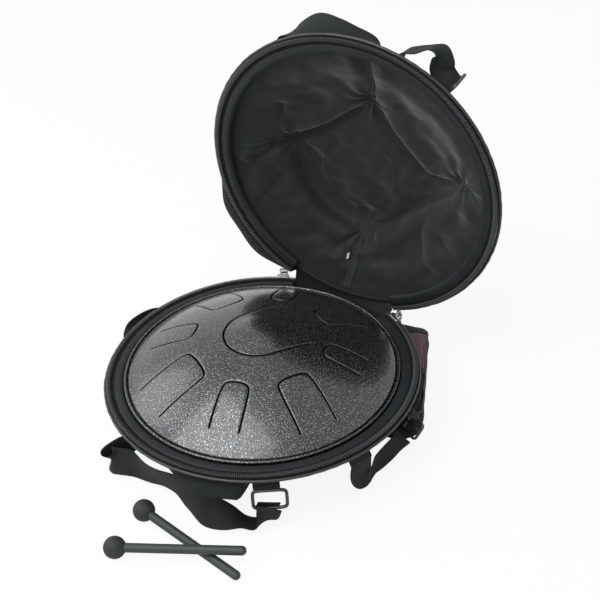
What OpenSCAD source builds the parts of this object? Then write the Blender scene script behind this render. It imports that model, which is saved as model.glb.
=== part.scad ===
// Twelve inch steel tongue drum seated in its open soft carrying bag, with two mallets.
// Origin: centre of the bag's underside on the ground. +Z is up, and the bag's hinge lies at +Y.

/* [Drum] */
// Diameter of the steel shells at their joint
drum_d = 305; // [260:1:340]
// Thickness of the steel sheet
steel_t = 2; // [1.4:0.1:2.6]
// Height of the top dome above the joint
dome_h = 52; // [40:1:56]
// Depth of the bottom dome below the joint
bowl_h = 56; // [40:1:58]
// Radius of the welded bead that joins the shells
bead_r = 1.8; // [1.2:0.1:2.4]
// Width of the cut that frees each tongue
slot_w = 1.6; // [1:0.1:2.4]
// Radius of the raised note boss in the middle
boss_r = 27; // [18:1:34]
// Height of that boss above the dome
boss_h = 5; // [2:0.5:8]
// Radius of the centre tongue
centre_r = 39; // [36:1:46]
// Length of the straight arms of the centre tongue's cut
centre_arm = 44; // [30:1:52]
// Radius at which the outer tongues end
tongue_in_r = 75; // [70:1:82]
// Radius of a rubber foot
foot_r = 8; // [5:0.5:11]
// Radius of the circle of feet
feet_pitch_r = 52; // [40:1:60]

/* [Bag] */
// Radius of the zip's coil line
zip_r = 174; // [170:1:180]
// Radius of one half of the closed zip's coil
coil_r = 2; // [1.4:0.1:2.4]
// Thickness of the outer cloth
cloth_t = 1.5; // [1:0.1:2]
// Thickness of the foam in the bag's base
base_foam_t = 5.5; // [3:0.5:7]
// Thickness of the foam in the lid
lid_foam_t = 2.5; // [1.5:0.5:4]
// Thickness of the lining
lining_t = 1; // [0.6:0.1:1.4]
// Thickness of the board in the bag's bottom
board_t = 2; // [1.5:0.5:3]
// Radius of the bag's flat underside
base_floor_r = 83; // [70:1:90]
// Radius of the lid's flat crown
lid_crown_r = 75; // [66:1:84]
// Depth of the lid from its zip to its crown
lid_depth = 68; // [66:1:76]
// Half angle of the cloth hinge, seen from the bag's middle
hinge_half = 23; // [20:1:26]
// Width of the webbing of the straps
strap_w = 38; // [25:1:42]
// Thickness of that webbing
strap_t = 1.6; // [1.2:0.1:2.4]

/* [Lid pose] */
// How far the lid stands open from closed
lid_open = 89.3; // [60:0.1:110]
// Lean of the hinge line out of level
hinge_lean = 7.3; // [0:0.1:10]

/* [Mallets] */
// Diameter of the rubber head
head_d = 24; // [18:1:30]
// Diameter of the handle
handle_d = 10; // [7:0.5:12]
// Length from the middle of the head to the end of the handle
mallet_l = 139; // [110:1:180]

/* [Hidden] */
$fn = 96;

// Clearances: cut overrun, flat seats, soft neighbours
over = 1;
seat = 0.3;
soft = 0.3;
hair = 0.05;

// Drum
drum_r = drum_d / 2;
foot_h = 6;
dome_sr = (drum_r * drum_r + dome_h * dome_h) / (2 * dome_h);
bowl_sr = (drum_r * drum_r + bowl_h * bowl_h) / (2 * bowl_h);
boss_sr = (boss_r * boss_r + boss_h * boss_h) / (2 * boss_h);
tongue_pitch = 45;
tongue_first = -116.5;
// Half width and outer end of each tongue, as shares of the drum's radius
tongue_half_shares = [0.17, 0.11, 0.14, 0.09, 0.12, 0.09, 0.15, 0.11];
tongue_out_shares = [0.89, 0.825, 0.87, 0.78, 0.83, 0.745, 0.80, 0.825];
tongue_corner = 7;
centre_turn = 60;

// Heights of the bag's base
floor_t = cloth_t + base_foam_t + lining_t + board_t;
drum_z = floor_t + seat + foot_h + bowl_h;
rim_drop = 1.7;
rim_z = drum_z + rim_drop;

// Rim of the bag, as depths from the rim plane, the same for the base and the lid
rim_gap = 0.2;
coil_d = rim_gap + coil_r;
tape_t = 1;
tape_d = rim_gap + 2 * coil_r - tape_t;
wall_top_d = rim_gap + 2 * coil_r + soft;
wall_bend_d = 8.5;
wall_r = zip_r + cloth_t - 0.5 * tape_t;
band_h = 7.5;
band_d = 2.2;
layer_top_d = band_d + band_h + soft;
band_in_r = drum_r + 2 * bead_r + soft;
band_w = 11.5;
piping_r = 1.9;
piping_d = 6.5;
notch_d = 12;
lid_gap = 1.4;

// Hinge axis
hinge_in = 12.4;
hinge_y = zip_r - hinge_in;
hinge_rise = 4.2;
hinge_z = rim_z + hinge_rise;

function polar(r, a) = [r * cos(a), r * sin(a)];

// A wedge of the whole height, between two angles, used to cut rings and walls
module wedge(a0, a1, z0, z1, r = 3 * zip_r) {
    translate([0, 0, z0])
        linear_extrude(z1 - z0)
            polygon([[0, 0], polar(r, a0), polar(r / cos((a1 - a0) / 2), (a0 + a1) / 2), polar(r, a1)]);
}

// The part of a ring or wall that the cloth hinge replaces
module hinge_wedge(z0, z1) {
    wedge(90 - hinge_half, 90 + hinge_half, z0, z1);
}

// Places what is drawn for the closed lid at the lid's open rest pose
module lid_pose() {
    translate([0, hinge_y, hinge_z])
        rotate(a = lid_open, v = [-cos(hinge_lean), 0, sin(hinge_lean)])
            translate([0, -hinge_y, -hinge_z])
                children();
}

// Turns depths from the rim plane into the closed lid
module lid_side() {
    translate([0, 0, rim_z + lid_gap])
        children();
}

// Turns depths from the rim plane into the base
module base_side() {
    translate([0, 0, rim_z])
        mirror([0, 0, 1])
            children();
}

// One layer of the bag's wall: a cone with a flat end, from t0 to t1 inside the outer face
module wall_layer(end_r, depth, t0, t1, top_d) {
    run = wall_r - end_r;
    fall = depth - wall_bend_d;
    side = sqrt(run * run + fall * fall) / fall;
    k0 = t0 * side;
    k1 = t1 * side;
    slope = run / fall;
    function r_at(d, k) = d < wall_bend_d ? wall_r - k : wall_r - k - (d - wall_bend_d) * slope;
    rotate_extrude()
        polygon([
            [r_at(top_d, k1), top_d],
            [r_at(top_d, k0), top_d],
            if (top_d < wall_bend_d) [r_at(wall_bend_d, k0), wall_bend_d],
            [r_at(depth - t0, k0), depth - t0],
            [0, depth - t0],
            [0, depth - t1],
            [r_at(depth - t1, k1), depth - t1],
            if (top_d < wall_bend_d) [r_at(wall_bend_d, k1), wall_bend_d]
        ]);
}

module notched(z0, z1) {
    difference() {
        children();
        hinge_wedge(z0, z1);
    }
}

// The ring of a round cord that lies along the rim
module rim_cord(r, d, cord_r) {
    difference() {
        rotate_extrude()
            translate([r, d])
                circle(cord_r, $fn = 32);
        hinge_wedge(d - cord_r - over, d + cord_r + over);
    }
}

module rim_band() {
    end_r = band_h / 2;
    difference() {
        rotate_extrude()
            translate([band_in_r, band_d])
                union() {
                    translate([end_r, 0])
                        square([band_w - band_h, band_h]);
                    translate([end_r, end_r])
                        circle(end_r, $fn = 32);
                    translate([band_w - end_r, end_r])
                        circle(end_r, $fn = 32);
                }
        hinge_wedge(band_d - over, band_d + band_h + over);
    }
}

module rim_tape() {
    difference() {
        rotate_extrude()
            translate([band_in_r + band_w - tape_t, tape_d])
                square([zip_r - coil_r - band_in_r - band_w + tape_t, tape_t]);
        rotate_extrude()
            translate([band_in_r + band_w - band_h / 2, band_d + band_h / 2])
                circle(band_h / 2 + soft, $fn = 32);
        hinge_wedge(tape_d - over, tape_d + tape_t + over);
    }
}

// Drum
module dome_profile(sr, h) {
    translate([0, h - sr])
        circle(sr, $fn = 256);
}

// The note boss: a shallower cap that stands on the dome
module boss_profile(grow) {
    intersection() {
        translate([0, dome_h + boss_h - boss_sr])
            circle(boss_sr + grow, $fn = 256);
        translate([-drum_r, dome_h - 3 * steel_t])
            square([drum_d, drum_r]);
    }
}

// Half of a profile, from the joint up, turned into a solid
module turned(top) {
    rotate_extrude()
        intersection() {
            children();
            square([drum_r, top]);
        }
}

// Corner points of a band along a path, on one side of it, with mitred corners
function unit(v) = v / norm(v);
function left_of(p, q) = let (d = unit(q - p)) [-d[1], d[0]];
function mitre(pts, k) =
    let (a = left_of(pts[max(k - 1, 0)], pts[max(k, 1)]),
         b = left_of(pts[min(k, len(pts) - 2)], pts[min(k + 1, len(pts) - 1)]))
    (a + b) / (1 + a * b);
function side_pts(pts, w) = [for (k = [0 : len(pts) - 1]) pts[k] + mitre(pts, k) * w];
function reversed(v) = [for (k = [len(v) - 1 : -1 : 0]) v[k]];

module path_cut(pts) {
    polygon(concat(side_pts(pts, slot_w / 2), reversed(side_pts(pts, -slot_w / 2))));
}

// The cut of one outer tongue, which stays joined at its outer end
module tongue_cut(i) {
    half = tongue_half_shares[i] * drum_r;
    out = tongue_out_shares[i] * drum_r;
    c = tongue_corner;
    inner = tongue_in_r;
    pts = [[out, -half], [inner + c, -0.94 * half], [inner, c - half],
           [inner, half - c], [inner + c, 0.94 * half], [out, half]];
    rotate(tongue_first + i * tongue_pitch)
        path_cut(pts);
}

// The cut of the centre tongue: a half ring between two straight arms
module centre_cut() {
    arc_steps = 30;
    pts = concat([[-centre_r, centre_arm]],
                 [for (k = [0 : arc_steps]) polar(centre_r, 180 + 180 * k / arc_steps)],
                 [[centre_r, centre_arm]]);
    rotate(centre_turn - 90)
        path_cut(pts);
}

module drum_top_shell() {
    color("#2f3335")
        translate([0, 0, drum_z])
            difference() {
                turned(dome_h + 2 * boss_h)
                    difference() {
                        union() {
                            dome_profile(dome_sr, dome_h);
                            boss_profile(0);
                        }
                        dome_profile(dome_sr - steel_t, dome_h - steel_t);
                        boss_profile(-steel_t);
                    }
                linear_extrude(dome_h + 2 * boss_h)
                    union() {
                        for (i = [0 : len(tongue_half_shares) - 1])
                            tongue_cut(i);
                        centre_cut();
                    }
            }
}

module drum_bottom_shell() {
    color("#2f3335")
        translate([0, 0, drum_z])
            mirror([0, 0, 1])
                turned(bowl_h + over)
                    difference() {
                        dome_profile(bowl_sr, bowl_h);
                        dome_profile(bowl_sr - steel_t, bowl_h - steel_t);
                    }
}

module drum_seam_bead() {
    color("#35393b")
        translate([0, 0, drum_z])
            rotate_extrude()
                translate([drum_r + bead_r + hair, 0])
                    circle(bead_r, $fn = 32);
}

module drum_foot(k) {
    foot_top = bowl_h + foot_h - (bowl_sr - sqrt(bowl_sr * bowl_sr - feet_pitch_r * feet_pitch_r));
    color("#1a1b1c")
        rotate(45 + 90 * k)
            difference() {
                translate([feet_pitch_r, 0, floor_t + seat])
                    cylinder(h = foot_top, r = foot_r);
                translate([0, 0, drum_z - bowl_h + bowl_sr])
                    sphere(bowl_sr + hair, $fn = 256);
            }
}

// Base of the bag
module base_cover() {
    color("#262a2b")
        base_side()
            notched(wall_top_d - over, notch_d)
                wall_layer(base_floor_r, rim_z, 0, cloth_t, wall_top_d);
}

module base_foam() {
    color("#5a5d5e")
        base_side()
            notched(layer_top_d - over, notch_d)
                wall_layer(base_floor_r, rim_z, cloth_t, cloth_t + base_foam_t, layer_top_d);
}

module base_lining() {
    t0 = cloth_t + base_foam_t;
    color("#1e2122")
        base_side()
            notched(layer_top_d - over, notch_d)
                wall_layer(base_floor_r, rim_z, t0, t0 + lining_t, layer_top_d);
}

module base_board() {
    color("#3a3d3e")
        translate([0, 0, floor_t - board_t])
            cylinder(h = board_t, r = base_floor_r - 2 * base_foam_t);
}

module base_rim_band() {
    color("#3c4448")
        base_side()
            rim_band();
}

module base_zip_tape() {
    color("#1c1f20")
        base_side()
            rim_tape();
}

module base_zip_coil() {
    color("#2a2d2e")
        base_side()
            rim_cord(zip_r, coil_d, coil_r);
}

module base_piping() {
    color("#303536")
        base_side()
            rim_cord(wall_r + piping_r + hair, piping_d, piping_r);
}

// The cloth strip that joins base and lid between the ends of the zip
module hinge_strip() {
    strip_out = wall_out(rim_z - notch_d);
    strip_h = 9.4;
    color("#222627")
        intersection() {
            base_side()
                rotate_extrude()
                    translate([strip_out - 2 * cloth_t, notch_d - strip_h])
                        square([2 * cloth_t, strip_h]);
            hinge_wedge(0, 2 * rim_z);
        }
}

// A pocket on the side of the base, and what is sewn on it
pocket_from = 15;
pocket_to = 60;
pocket_bulge = 22;
pocket_out = zip_r + pocket_bulge;
pocket_low = 8;
pocket_drop = 15;
pocket_top = rim_z - pocket_drop;
panel_from = 36;
panel_t = 1.2;

function wall_out(z) = wall_r - (rim_z - z - wall_bend_d) * (wall_r - base_floor_r) / (rim_z - wall_bend_d);

module pocket_shape(grow) {
    rotate_extrude()
        polygon([
            [wall_out(pocket_low) + soft, pocket_low],
            [pocket_out - 3 * pocket_low + grow, pocket_low],
            [pocket_out - pocket_low + grow, 2 * pocket_low],
            [pocket_out + grow, 4 * pocket_low],
            [pocket_out + grow, pocket_top - pocket_low],
            [pocket_out - pocket_low / 2 + grow, pocket_top + grow],
            [wall_out(pocket_top + grow) + soft, pocket_top + grow]
        ]);
}

module side_pocket() {
    color("#25282a")
        intersection() {
            pocket_shape(0);
            wedge(pocket_from, pocket_to, 0, rim_z);
        }
}

module pocket_panel() {
    color("#6e464e")
        intersection() {
            difference() {
                pocket_shape(panel_t);
                pocket_shape(hair);
                cylinder(h = 4 * pocket_low, r = 2 * zip_r);
            }
            wedge(panel_from, pocket_to - 1, 0, rim_z);
        }
}

module pocket_piping() {
    color("#7a4d56")
        intersection() {
            rotate_extrude()
                translate([pocket_out + strap_t, 4 * pocket_low - strap_t])
                    circle(strap_t - hair, $fn = 24);
            wedge(pocket_from + 1, pocket_to - 1, 0, rim_z);
        }
}

// Webbing: a flat band along hand chosen points. Each row of a table of shares holds a point, then
// the direction in which the width lies there, then the width. Points are shares of the zip's
// radius and the rim's height, and widths of the strap's width.
function at(row) = [row[0] * zip_r, row[1] * zip_r, row[2] * rim_z];
function chord(t, k) = unit(at(t[min(k + 1, len(t) - 1)]) - at(t[max(k - 1, 0)]));
function across(t, k) =
    let (c = chord(t, k), w = [t[k][3], t[k][4], t[k][5]])
    unit(w - (w * c) * c);
function ring_pts(t, k) =
    let (p = at(t[k]), a = across(t, k) * t[k][6] * strap_w / 2, n = unit(cross(chord(t, k), a)) * strap_t / 2)
    [p - a - n, p + a - n, p + a + n, p - a + n];

module webbing(t) {
    n = len(t);
    pts = [for (k = [0 : n - 1]) each ring_pts(t, k)];
    sides = [for (k = [0 : n - 2], j = [0 : 3])
        let (a = 4 * k + j, b = 4 * k + (j + 1) % 4)
        each [[b + 4, b, a], [a + 4, b + 4, a]]];
    last = 4 * (n - 1);
    ends = [[0, 1, 2], [0, 2, 3], [last + 2, last + 1, last], [last + 3, last + 2, last]];
    polyhedron(points = pts, faces = concat(sides, ends), convexity = 6);
}

left_strap_shares = [
    [-0.380, -0.816, 0.595, -0.34, -0.74, 0.58, 0.7],
    [-0.437, -0.880, 0.50, -0.25, -0.45, 0.85, 0.85],
    [-0.500, -0.977, 0.345, -0.1, 0, 1, 1],
    [-0.440, -0.985, 0.335, 0, 0.1, 1, 1],
    [-0.290, -0.950, 0.32, 0, 0.3, 1, 1],
    [-0.130, -0.935, 0.33, 0, 0.5, 1, 1],
    [0.030, -0.940, 0.34, -0.1, 0.5, 1, 1],
    [0.180, -0.965, 0.31, -0.1, 0.5, 1, 1],
    [0.310, -0.965, 0.25, -0.3, 0.8, 0.9, 0.95],
    [0.430, -0.920, 0.15, -0.4, 1, 0.5, 0.9],
    [0.530, -0.870, 0.085, -0.4, 1, 0.2, 0.85],
    [0.605, -0.850, 0.13, -0.2, 1, 0.2, 0.8],
    [0.640, -0.835, 0.26, 0.8, 0.6, 0.1, 0.75],
    [0.635, -0.814, 0.40, 0.8, 0.6, 0, 0.7]];
front_tab_shares = [
    [0.582, -0.763, 0.785, 0.8, 0.6, 0, 0.75],
    [0.596, -0.778, 0.735, 0.8, 0.6, 0, 0.75],
    [0.603, -0.787, 0.70, 0.8, 0.6, 0, 0.75]];
strap_return_shares = [
    [0.610, -0.782, 0.43, 0.8, 0.6, 0, 0.65],
    [0.585, -0.772, 0.32, 0.8, 0.6, 0, 0.65],
    [0.560, -0.770, 0.25, 0.8, 0.6, 0, 0.65]];
right_tab_shares = [
    [0.919, -0.281, 0.79, 0.29, 0.96, 0, 0.75],
    [0.945, -0.287, 0.70, 0.29, 0.96, 0, 0.75],
    [0.943, -0.283, 0.62, 0.29, 0.96, 0, 0.75]];
right_strap_shares = [
    [0.940, -0.281, 0.60, 0.29, 0.96, 0, 0.75],
    [0.925, -0.260, 0.35, 0.29, 0.96, 0, 0.8],
    [0.905, -0.225, 0.12, 0.4, 0.9, 0.1, 0.8],
    [0.900, -0.150, 0.138, 0.5, 0.8, 0.5, 0.8],
    [0.915, -0.060, 0.20, 0.2, 0.3, 0.9, 0.85],
    [0.945, 0.050, 0.33, -0.14, 0.29, 0.95, 0.85],
    [0.985, 0.105, 0.39, -0.4, 0.29, 0.85, 0.7],
    [1.020, 0.130, 0.44, -0.7, 0.2, 0.68, 0.55]];
buckle_tab_shares = [
    [0.988, 0.184, 0.845, -0.19, 0.98, 0, 0.45],
    [1.022, 0.200, 0.793, -0.45, 0.85, 0, 0.42],
    [1.050, 0.226, 0.712, -0.85, 0.5, 0, 0.4]];
side_handle_shares = [
    [-0.882, 0.279, 0.675, -0.78, 0.24, 0.58, 0.4],
    [-1.005, 0.255, 0.69, 0, 0, 1, 0.4],
    [-1.085, 0.160, 0.75, 0, 0, 1, 0.4],
    [-1.118, -0.020, 0.76, 0, 0, 1, 0.4],
    [-1.060, -0.155, 0.74, 0, 0, 1, 0.4],
    [-0.970, -0.207, 0.69, 0, 0, 1, 0.4],
    [-0.894, -0.231, 0.675, -0.79, -0.2, 0.58, 0.4]];

module side_handle() {
    color("#1f2223")
        webbing(side_handle_shares);
}

module left_strap() {
    color("#202324")
        webbing(left_strap_shares);
}

module front_tab() {
    color("#1c1e1f")
        webbing(front_tab_shares);
}

module strap_return() {
    color("#202324")
        webbing(strap_return_shares);
}

module right_strap() {
    color("#202324")
        webbing(right_strap_shares);
}

module right_strap_tab() {
    color("#1c1e1f")
        webbing(right_tab_shares);
}

module buckle_tab() {
    color("#1c1e1f")
        webbing(buckle_tab_shares);
}

// A flat oblong loop of round rod, with its long way along X
wire_r = 1.8;

module oblong_loop(long, short) {
    for (s = [-1, 1]) {
        translate([s * long, 0, 0])
            rotate([90, 0, 0])
                translate([0, 0, -short])
                    cylinder(h = 2 * short, r = wire_r, $fn = 24);
        translate([-long, s * short, 0])
            rotate([0, 90, 0])
                cylinder(h = 2 * long, r = wire_r, $fn = 24);
        for (q = [-1, 1])
            translate([s * long, q * short, 0])
                sphere(wire_r, $fn = 24);
    }
}

// Where the front ring hangs, as shares of the zip's radius and the rim's height
front_ring_share = [0.619, -0.783, 0.514];
front_ring_short_share = 0.14865;

module front_ring() {
    color("#34383a")
        translate(at(front_ring_share))
            rotate([80, 0, 37])
                oblong_loop(0.375 * strap_w + 2 * wire_r, front_ring_short_share * rim_z);
}

// Ladder lock: a frame with a cross bar
buckle_w = 27;
buckle_l = 22;
buckle_t = 3;
buckle_rim = 3;
buckle_share = [1.029, 0.184, 0.58];

module right_buckle() {
    slot_l = (buckle_l - 3 * buckle_rim) / 2;
    color("#3a3f41")
        translate(at(buckle_share))
            rotate([0, 0, 25])
                rotate([50, 0, -51])
                    difference() {
                        translate([-buckle_w / 2, -buckle_l / 2, -buckle_t / 2])
                            cube([buckle_w, buckle_l, buckle_t]);
                        for (y = [buckle_rim, 2 * buckle_rim + slot_l])
                            translate([buckle_rim - buckle_w / 2, y - buckle_l / 2, -buckle_t])
                                cube([buckle_w - 2 * buckle_rim, slot_l, 2 * buckle_t]);
                    }
}

// Lid of the bag, drawn closed
module lid_cover() {
    color("#262a2b")
        lid_pose()
            lid_side()
                notched(wall_top_d - over, notch_d)
                    wall_layer(lid_crown_r, lid_depth, 0, cloth_t, wall_top_d);
}

module lid_foam() {
    color("#5a5d5e")
        lid_pose()
            lid_side()
                notched(layer_top_d - over, notch_d)
                    wall_layer(lid_crown_r, lid_depth, cloth_t, cloth_t + lid_foam_t, layer_top_d);
}

module lid_lining() {
    t0 = cloth_t + lid_foam_t;
    color("#1e2122")
        lid_pose()
            lid_side()
                notched(layer_top_d - over, notch_d)
                    wall_layer(lid_crown_r, lid_depth, t0, t0 + lining_t, layer_top_d);
}

module lid_rim_band() {
    color("#24282a")
        lid_pose()
            lid_side()
                rim_band();
}

module lid_zip_tape() {
    color("#1c1f20")
        lid_pose()
            lid_side()
                rim_tape();
}

module lid_zip_coil() {
    color("#2a2d2e")
        lid_pose()
            lid_side()
                rim_cord(zip_r, coil_d, coil_r);
}

module lid_piping() {
    color("#303536")
        lid_pose()
            lid_side()
                rim_cord(wall_r + piping_r + hair, piping_d, piping_r);
}

// Bound seams of the darts inside the lid
module lid_dart(a) {
    dart_w = 7;
    fall = lid_depth - wall_bend_d;
    slope = (wall_r - lid_crown_r) / fall;
    in_r = wall_r - (cloth_t + lid_foam_t + lining_t) * sqrt(slope * slope + 1) - hair - soft;
    d0 = layer_top_d + dart_w / 2;
    d1 = lid_depth - 3 * dart_w;
    color("#17191a")
        lid_pose()
            lid_side()
                rotate(a)
                    translate([0, dart_w / 2, 0])
                        rotate([90, 0, 0])
                            linear_extrude(dart_w)
                                polygon([
                                    [in_r - (d0 - wall_bend_d) * slope, d0],
                                    [in_r - (d1 - wall_bend_d) * slope, d1],
                                    [in_r - cloth_t - (d1 - wall_bend_d) * slope, d1],
                                    [in_r - cloth_t - (d0 - wall_bend_d) * slope, d0]]);
}

// Rows for the closed lid: height is counted from the lid's rim, as a share of the rim's height
function lid_rows(t) =
    [for (row = t) [row[0], row[1], row[2] + (rim_z + lid_gap) / rim_z, row[3], row[4], row[5], row[6]]];
lid_handle_shares = [
    [-0.580, -0.742, 0.297, 0.53, 0.67, 0.51, 0.6],
    [-0.560, -0.830, 0.30, 0.3, 0.4, 0.8, 0.6],
    [-0.490, -0.910, 0.29, 0, 0, 1, 0.6],
    [-0.345, -1.020, 0.28, 0, 0, 1, 0.6],
    [-0.220, -1.020, 0.28, 0, 0, 1, 0.6],
    [-0.100, -1.000, 0.28, 0, 0, 1, 0.6],
    [0.030, -0.980, 0.29, 0, 0.5, 0.85, 0.6],
    [0.100, -0.932, 0.297, -0.1, 0.85, 0.51, 0.6]];
lid_strap_shares = [
    [0.192, -0.922, 0.297, -0.15, 0.84, 0.51, 0.5],
    [0.235, -0.975, 0.30, 0, 0.2, 1, 0.5],
    [0.320, -1.030, 0.30, 0, 0, 1, 0.5],
    [0.397, -1.068, 0.31, 0, 0, 1, 0.5],
    [0.470, -1.055, 0.33, 0, 0, 1, 0.5],
    [0.525, -1.005, 0.35, 0, 0, 1, 0.5],
    [0.578, -0.902, 0.36, 0, 0, 1, 0.5]];
lid_tab_shares = [
    [0.370, -0.765, 0.36, -0.42, 0.75, 0.51, 0.5],
    [0.453, -0.735, 0.36, -0.42, 0.75, 0.51, 0.5],
    [0.500, -0.762, 0.37, -0.2, 0.3, 0.9, 0.5],
    [0.529, -0.802, 0.37, 0, 0, 1, 0.5]];

module lid_handle() {
    color("#1f2223")
        lid_pose()
            webbing(lid_rows(lid_handle_shares));
}

module lid_strap() {
    color("#1f2223")
        lid_pose()
            webbing(lid_rows(lid_strap_shares));
}

module lid_strap_tab() {
    color("#1c1e1f")
        lid_pose()
            webbing(lid_rows(lid_tab_shares));
}

// The ring stands on edge at the lid's side, with its long way along the lid's depth
lid_ring_share = [0.570, -0.848, 0.37];
lid_ring_short = 8;

module lid_ring() {
    color("#34383a")
        lid_pose()
            translate([0, 0, rim_z + lid_gap])
                translate(at(lid_ring_share))
                    rotate([0, 90, 34])
                        oblong_loop(0.25 * strap_w + 2 * wire_r, lid_ring_short);
}

// Zip sliders: a channel over the base's coil, parked beside the hinge, with two ears outside it
park = 4.5;
slider_len = 15;
slider_wall = 1.3;
pull_pin_r = 0.9;
pin_gap = 0.15;
pull_t = 1.4;
pull_w = 8;
pull_l = 11;
ear_t = 1.4;
ear_rim = 0.8;
ear_pitch = 4.2;
piping_out_r = wall_r + 2 * piping_r + hair;
pin_at_r = piping_out_r + 2 * soft + pull_t / 2;
pin_at_z = rim_z - coil_d;
ear_reach = pull_pin_r + pin_gap + ear_rim;
slider_half_turn = slider_len / (2 * zip_r) * 180 / PI;

module slider(a) {
    in_r = zip_r - coil_r;
    out_r = zip_r + coil_r;
    color("#c9cbcc")
        union() {
            intersection() {
                base_side()
                    rotate_extrude()
                        polygon([
                            [in_r - slider_wall, soft - lid_gap],
                            [out_r + slider_wall, soft - lid_gap],
                            [out_r + slider_wall, coil_d + hair],
                            [out_r + soft, coil_d + hair],
                            [out_r + soft, -hair],
                            [in_r - soft, -hair],
                            [in_r - soft, coil_d - coil_r / 4],
                            [in_r - slider_wall, coil_d - coil_r / 4]
                        ]);
                wedge(a - slider_half_turn, a + slider_half_turn, 0, 2 * rim_z);
            }
            rotate(a)
                for (s = [-1, 1])
                    translate([out_r + slider_wall / 2, s * ear_pitch / 2 + (s - 1) * ear_t / 2, pin_at_z - ear_reach])
                        slider_ear();
        }
}

// One ear, with the bore for the pull's pin, drawn from its lower inner corner
module slider_ear() {
    reach = pin_at_r - zip_r - coil_r - slider_wall / 2;
    difference() {
        cube([reach + ear_reach, ear_t, 2 * ear_reach]);
        translate([reach, -over, ear_reach])
            rotate([-90, 0, 0])
                cylinder(h = ear_t + 2 * over, r = pull_pin_r + pin_gap, $fn = 32);
    }
}

// The pull hangs on a cross pin between the ears
module pull(a) {
    neck_w = ear_pitch - 2 * soft;
    neck_l = 1.5 * ear_reach;
    color("#c9cbcc")
        rotate(a)
            translate([pin_at_r, 0, pin_at_z])
                union() {
                    rotate([90, 0, 0])
                        translate([0, 0, -ear_pitch / 2 - ear_t])
                            cylinder(h = ear_pitch + 2 * ear_t, r = pull_pin_r, $fn = 24);
                    translate([-pull_t / 2, -neck_w / 2, -neck_l - over])
                        cube([pull_t, neck_w, neck_l + over]);
                    translate([-pull_t / 2, -pull_w / 2, -pull_l])
                        cube([pull_t, pull_w, pull_l - neck_l]);
                }
}

module slider_left() {
    slider(90 + hinge_half + park);
}

module pull_left() {
    pull(90 + hinge_half + park);
}

module slider_right() {
    slider(90 - hinge_half - park);
}

module pull_right() {
    pull(90 - hinge_half - park);
}

// Mallets: a rubber ball on a handle with a rounded end
module mallet_handle(start) {
    color("#39403f")
        rotate([0, 90, 0])
            union() {
                translate([0, 0, start])
                    cylinder(h = mallet_l - handle_d / 2 - start, r = handle_d / 2);
                translate([0, 0, mallet_l - handle_d / 2])
                    sphere(handle_d / 2);
            }
}

module mallet_head() {
    color("#33393a")
        rotate([0, 90, 0])
            rotate_extrude()
                difference() {
                    circle(head_r);
                    translate([-head_d, -head_d])
                        square([head_d, 2 * head_d]);
                    square([handle_d / 2 + pin_gap, head_d]);
                }
}

head_r = head_d / 2;
// Where each mallet's head lies, which way its handle points, and how it slopes
mallet_one_share = [-0.026, -1.480];
mallet_one_turn = 27.4;
mallet_two_share = [-0.075, -1.155];
mallet_two_turn = -6.3;
mallet_two_dip = asin((head_r - handle_d / 2) / (mallet_l - handle_d / 2));
// The first mallet lies over the second, where their middle lines cross
mallet_apart = (mallet_two_share - mallet_one_share) * zip_r;
one_way = polar(1, mallet_one_turn);
two_way = polar(1, mallet_two_turn);
cross_one_l = cross(mallet_apart, two_way) / cross(one_way, two_way);
cross_two_l = cross(mallet_apart, one_way) / cross(one_way, two_way);
mallet_one_rise = atan((handle_d + 2 * seat - cross_two_l * tan(mallet_two_dip)) / cross_one_l);

module mallet_one() {
    translate([mallet_one_share[0] * zip_r, mallet_one_share[1] * zip_r, head_r])
        rotate([0, -mallet_one_rise, mallet_one_turn])
            children();
}

module mallet_two() {
    translate([mallet_two_share[0] * zip_r, mallet_two_share[1] * zip_r, head_r])
        rotate([0, mallet_two_dip, mallet_two_turn])
            children();
}

module mallet_one_handle() {
    mallet_one()
        mallet_handle(hair);
}

module mallet_one_head() {
    mallet_one()
        mallet_head();
}

module mallet_two_handle() {
    mallet_two()
        mallet_handle(hair);
}

module mallet_two_head() {
    mallet_two()
        mallet_head();
}

drum_top_shell();
drum_bottom_shell();
drum_seam_bead();
drum_foot(0);  // drum_foot_1
drum_foot(1);  // drum_foot_2
drum_foot(2);  // drum_foot_3
drum_foot(3);  // drum_foot_4
base_cover();
base_foam();
base_lining();
base_board();
base_rim_band();
base_zip_tape();
base_zip_coil();
base_piping();
hinge_strip();
side_pocket();
pocket_panel();
pocket_piping();
side_handle();
left_strap();
front_tab();
front_ring();
strap_return();
right_strap();
right_strap_tab();
right_buckle();
buckle_tab();
lid_cover();
lid_foam();
lid_lining();
lid_rim_band();
lid_zip_tape();
lid_zip_coil();
lid_piping();
lid_dart(180);  // lid_dart_left
lid_dart(270);  // lid_dart_top
lid_dart(0);  // lid_dart_right
lid_handle();
lid_strap();
lid_strap_tab();
lid_ring();
slider_left();
pull_left();
slider_right();
pull_right();
mallet_one_handle();
mallet_one_head();
mallet_two_handle();
mallet_two_head();
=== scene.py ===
import bmesh
import bpy
import numpy as np
from mathutils import Matrix, Vector
from mathutils.geometry import delaunay_2d_cdt


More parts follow.
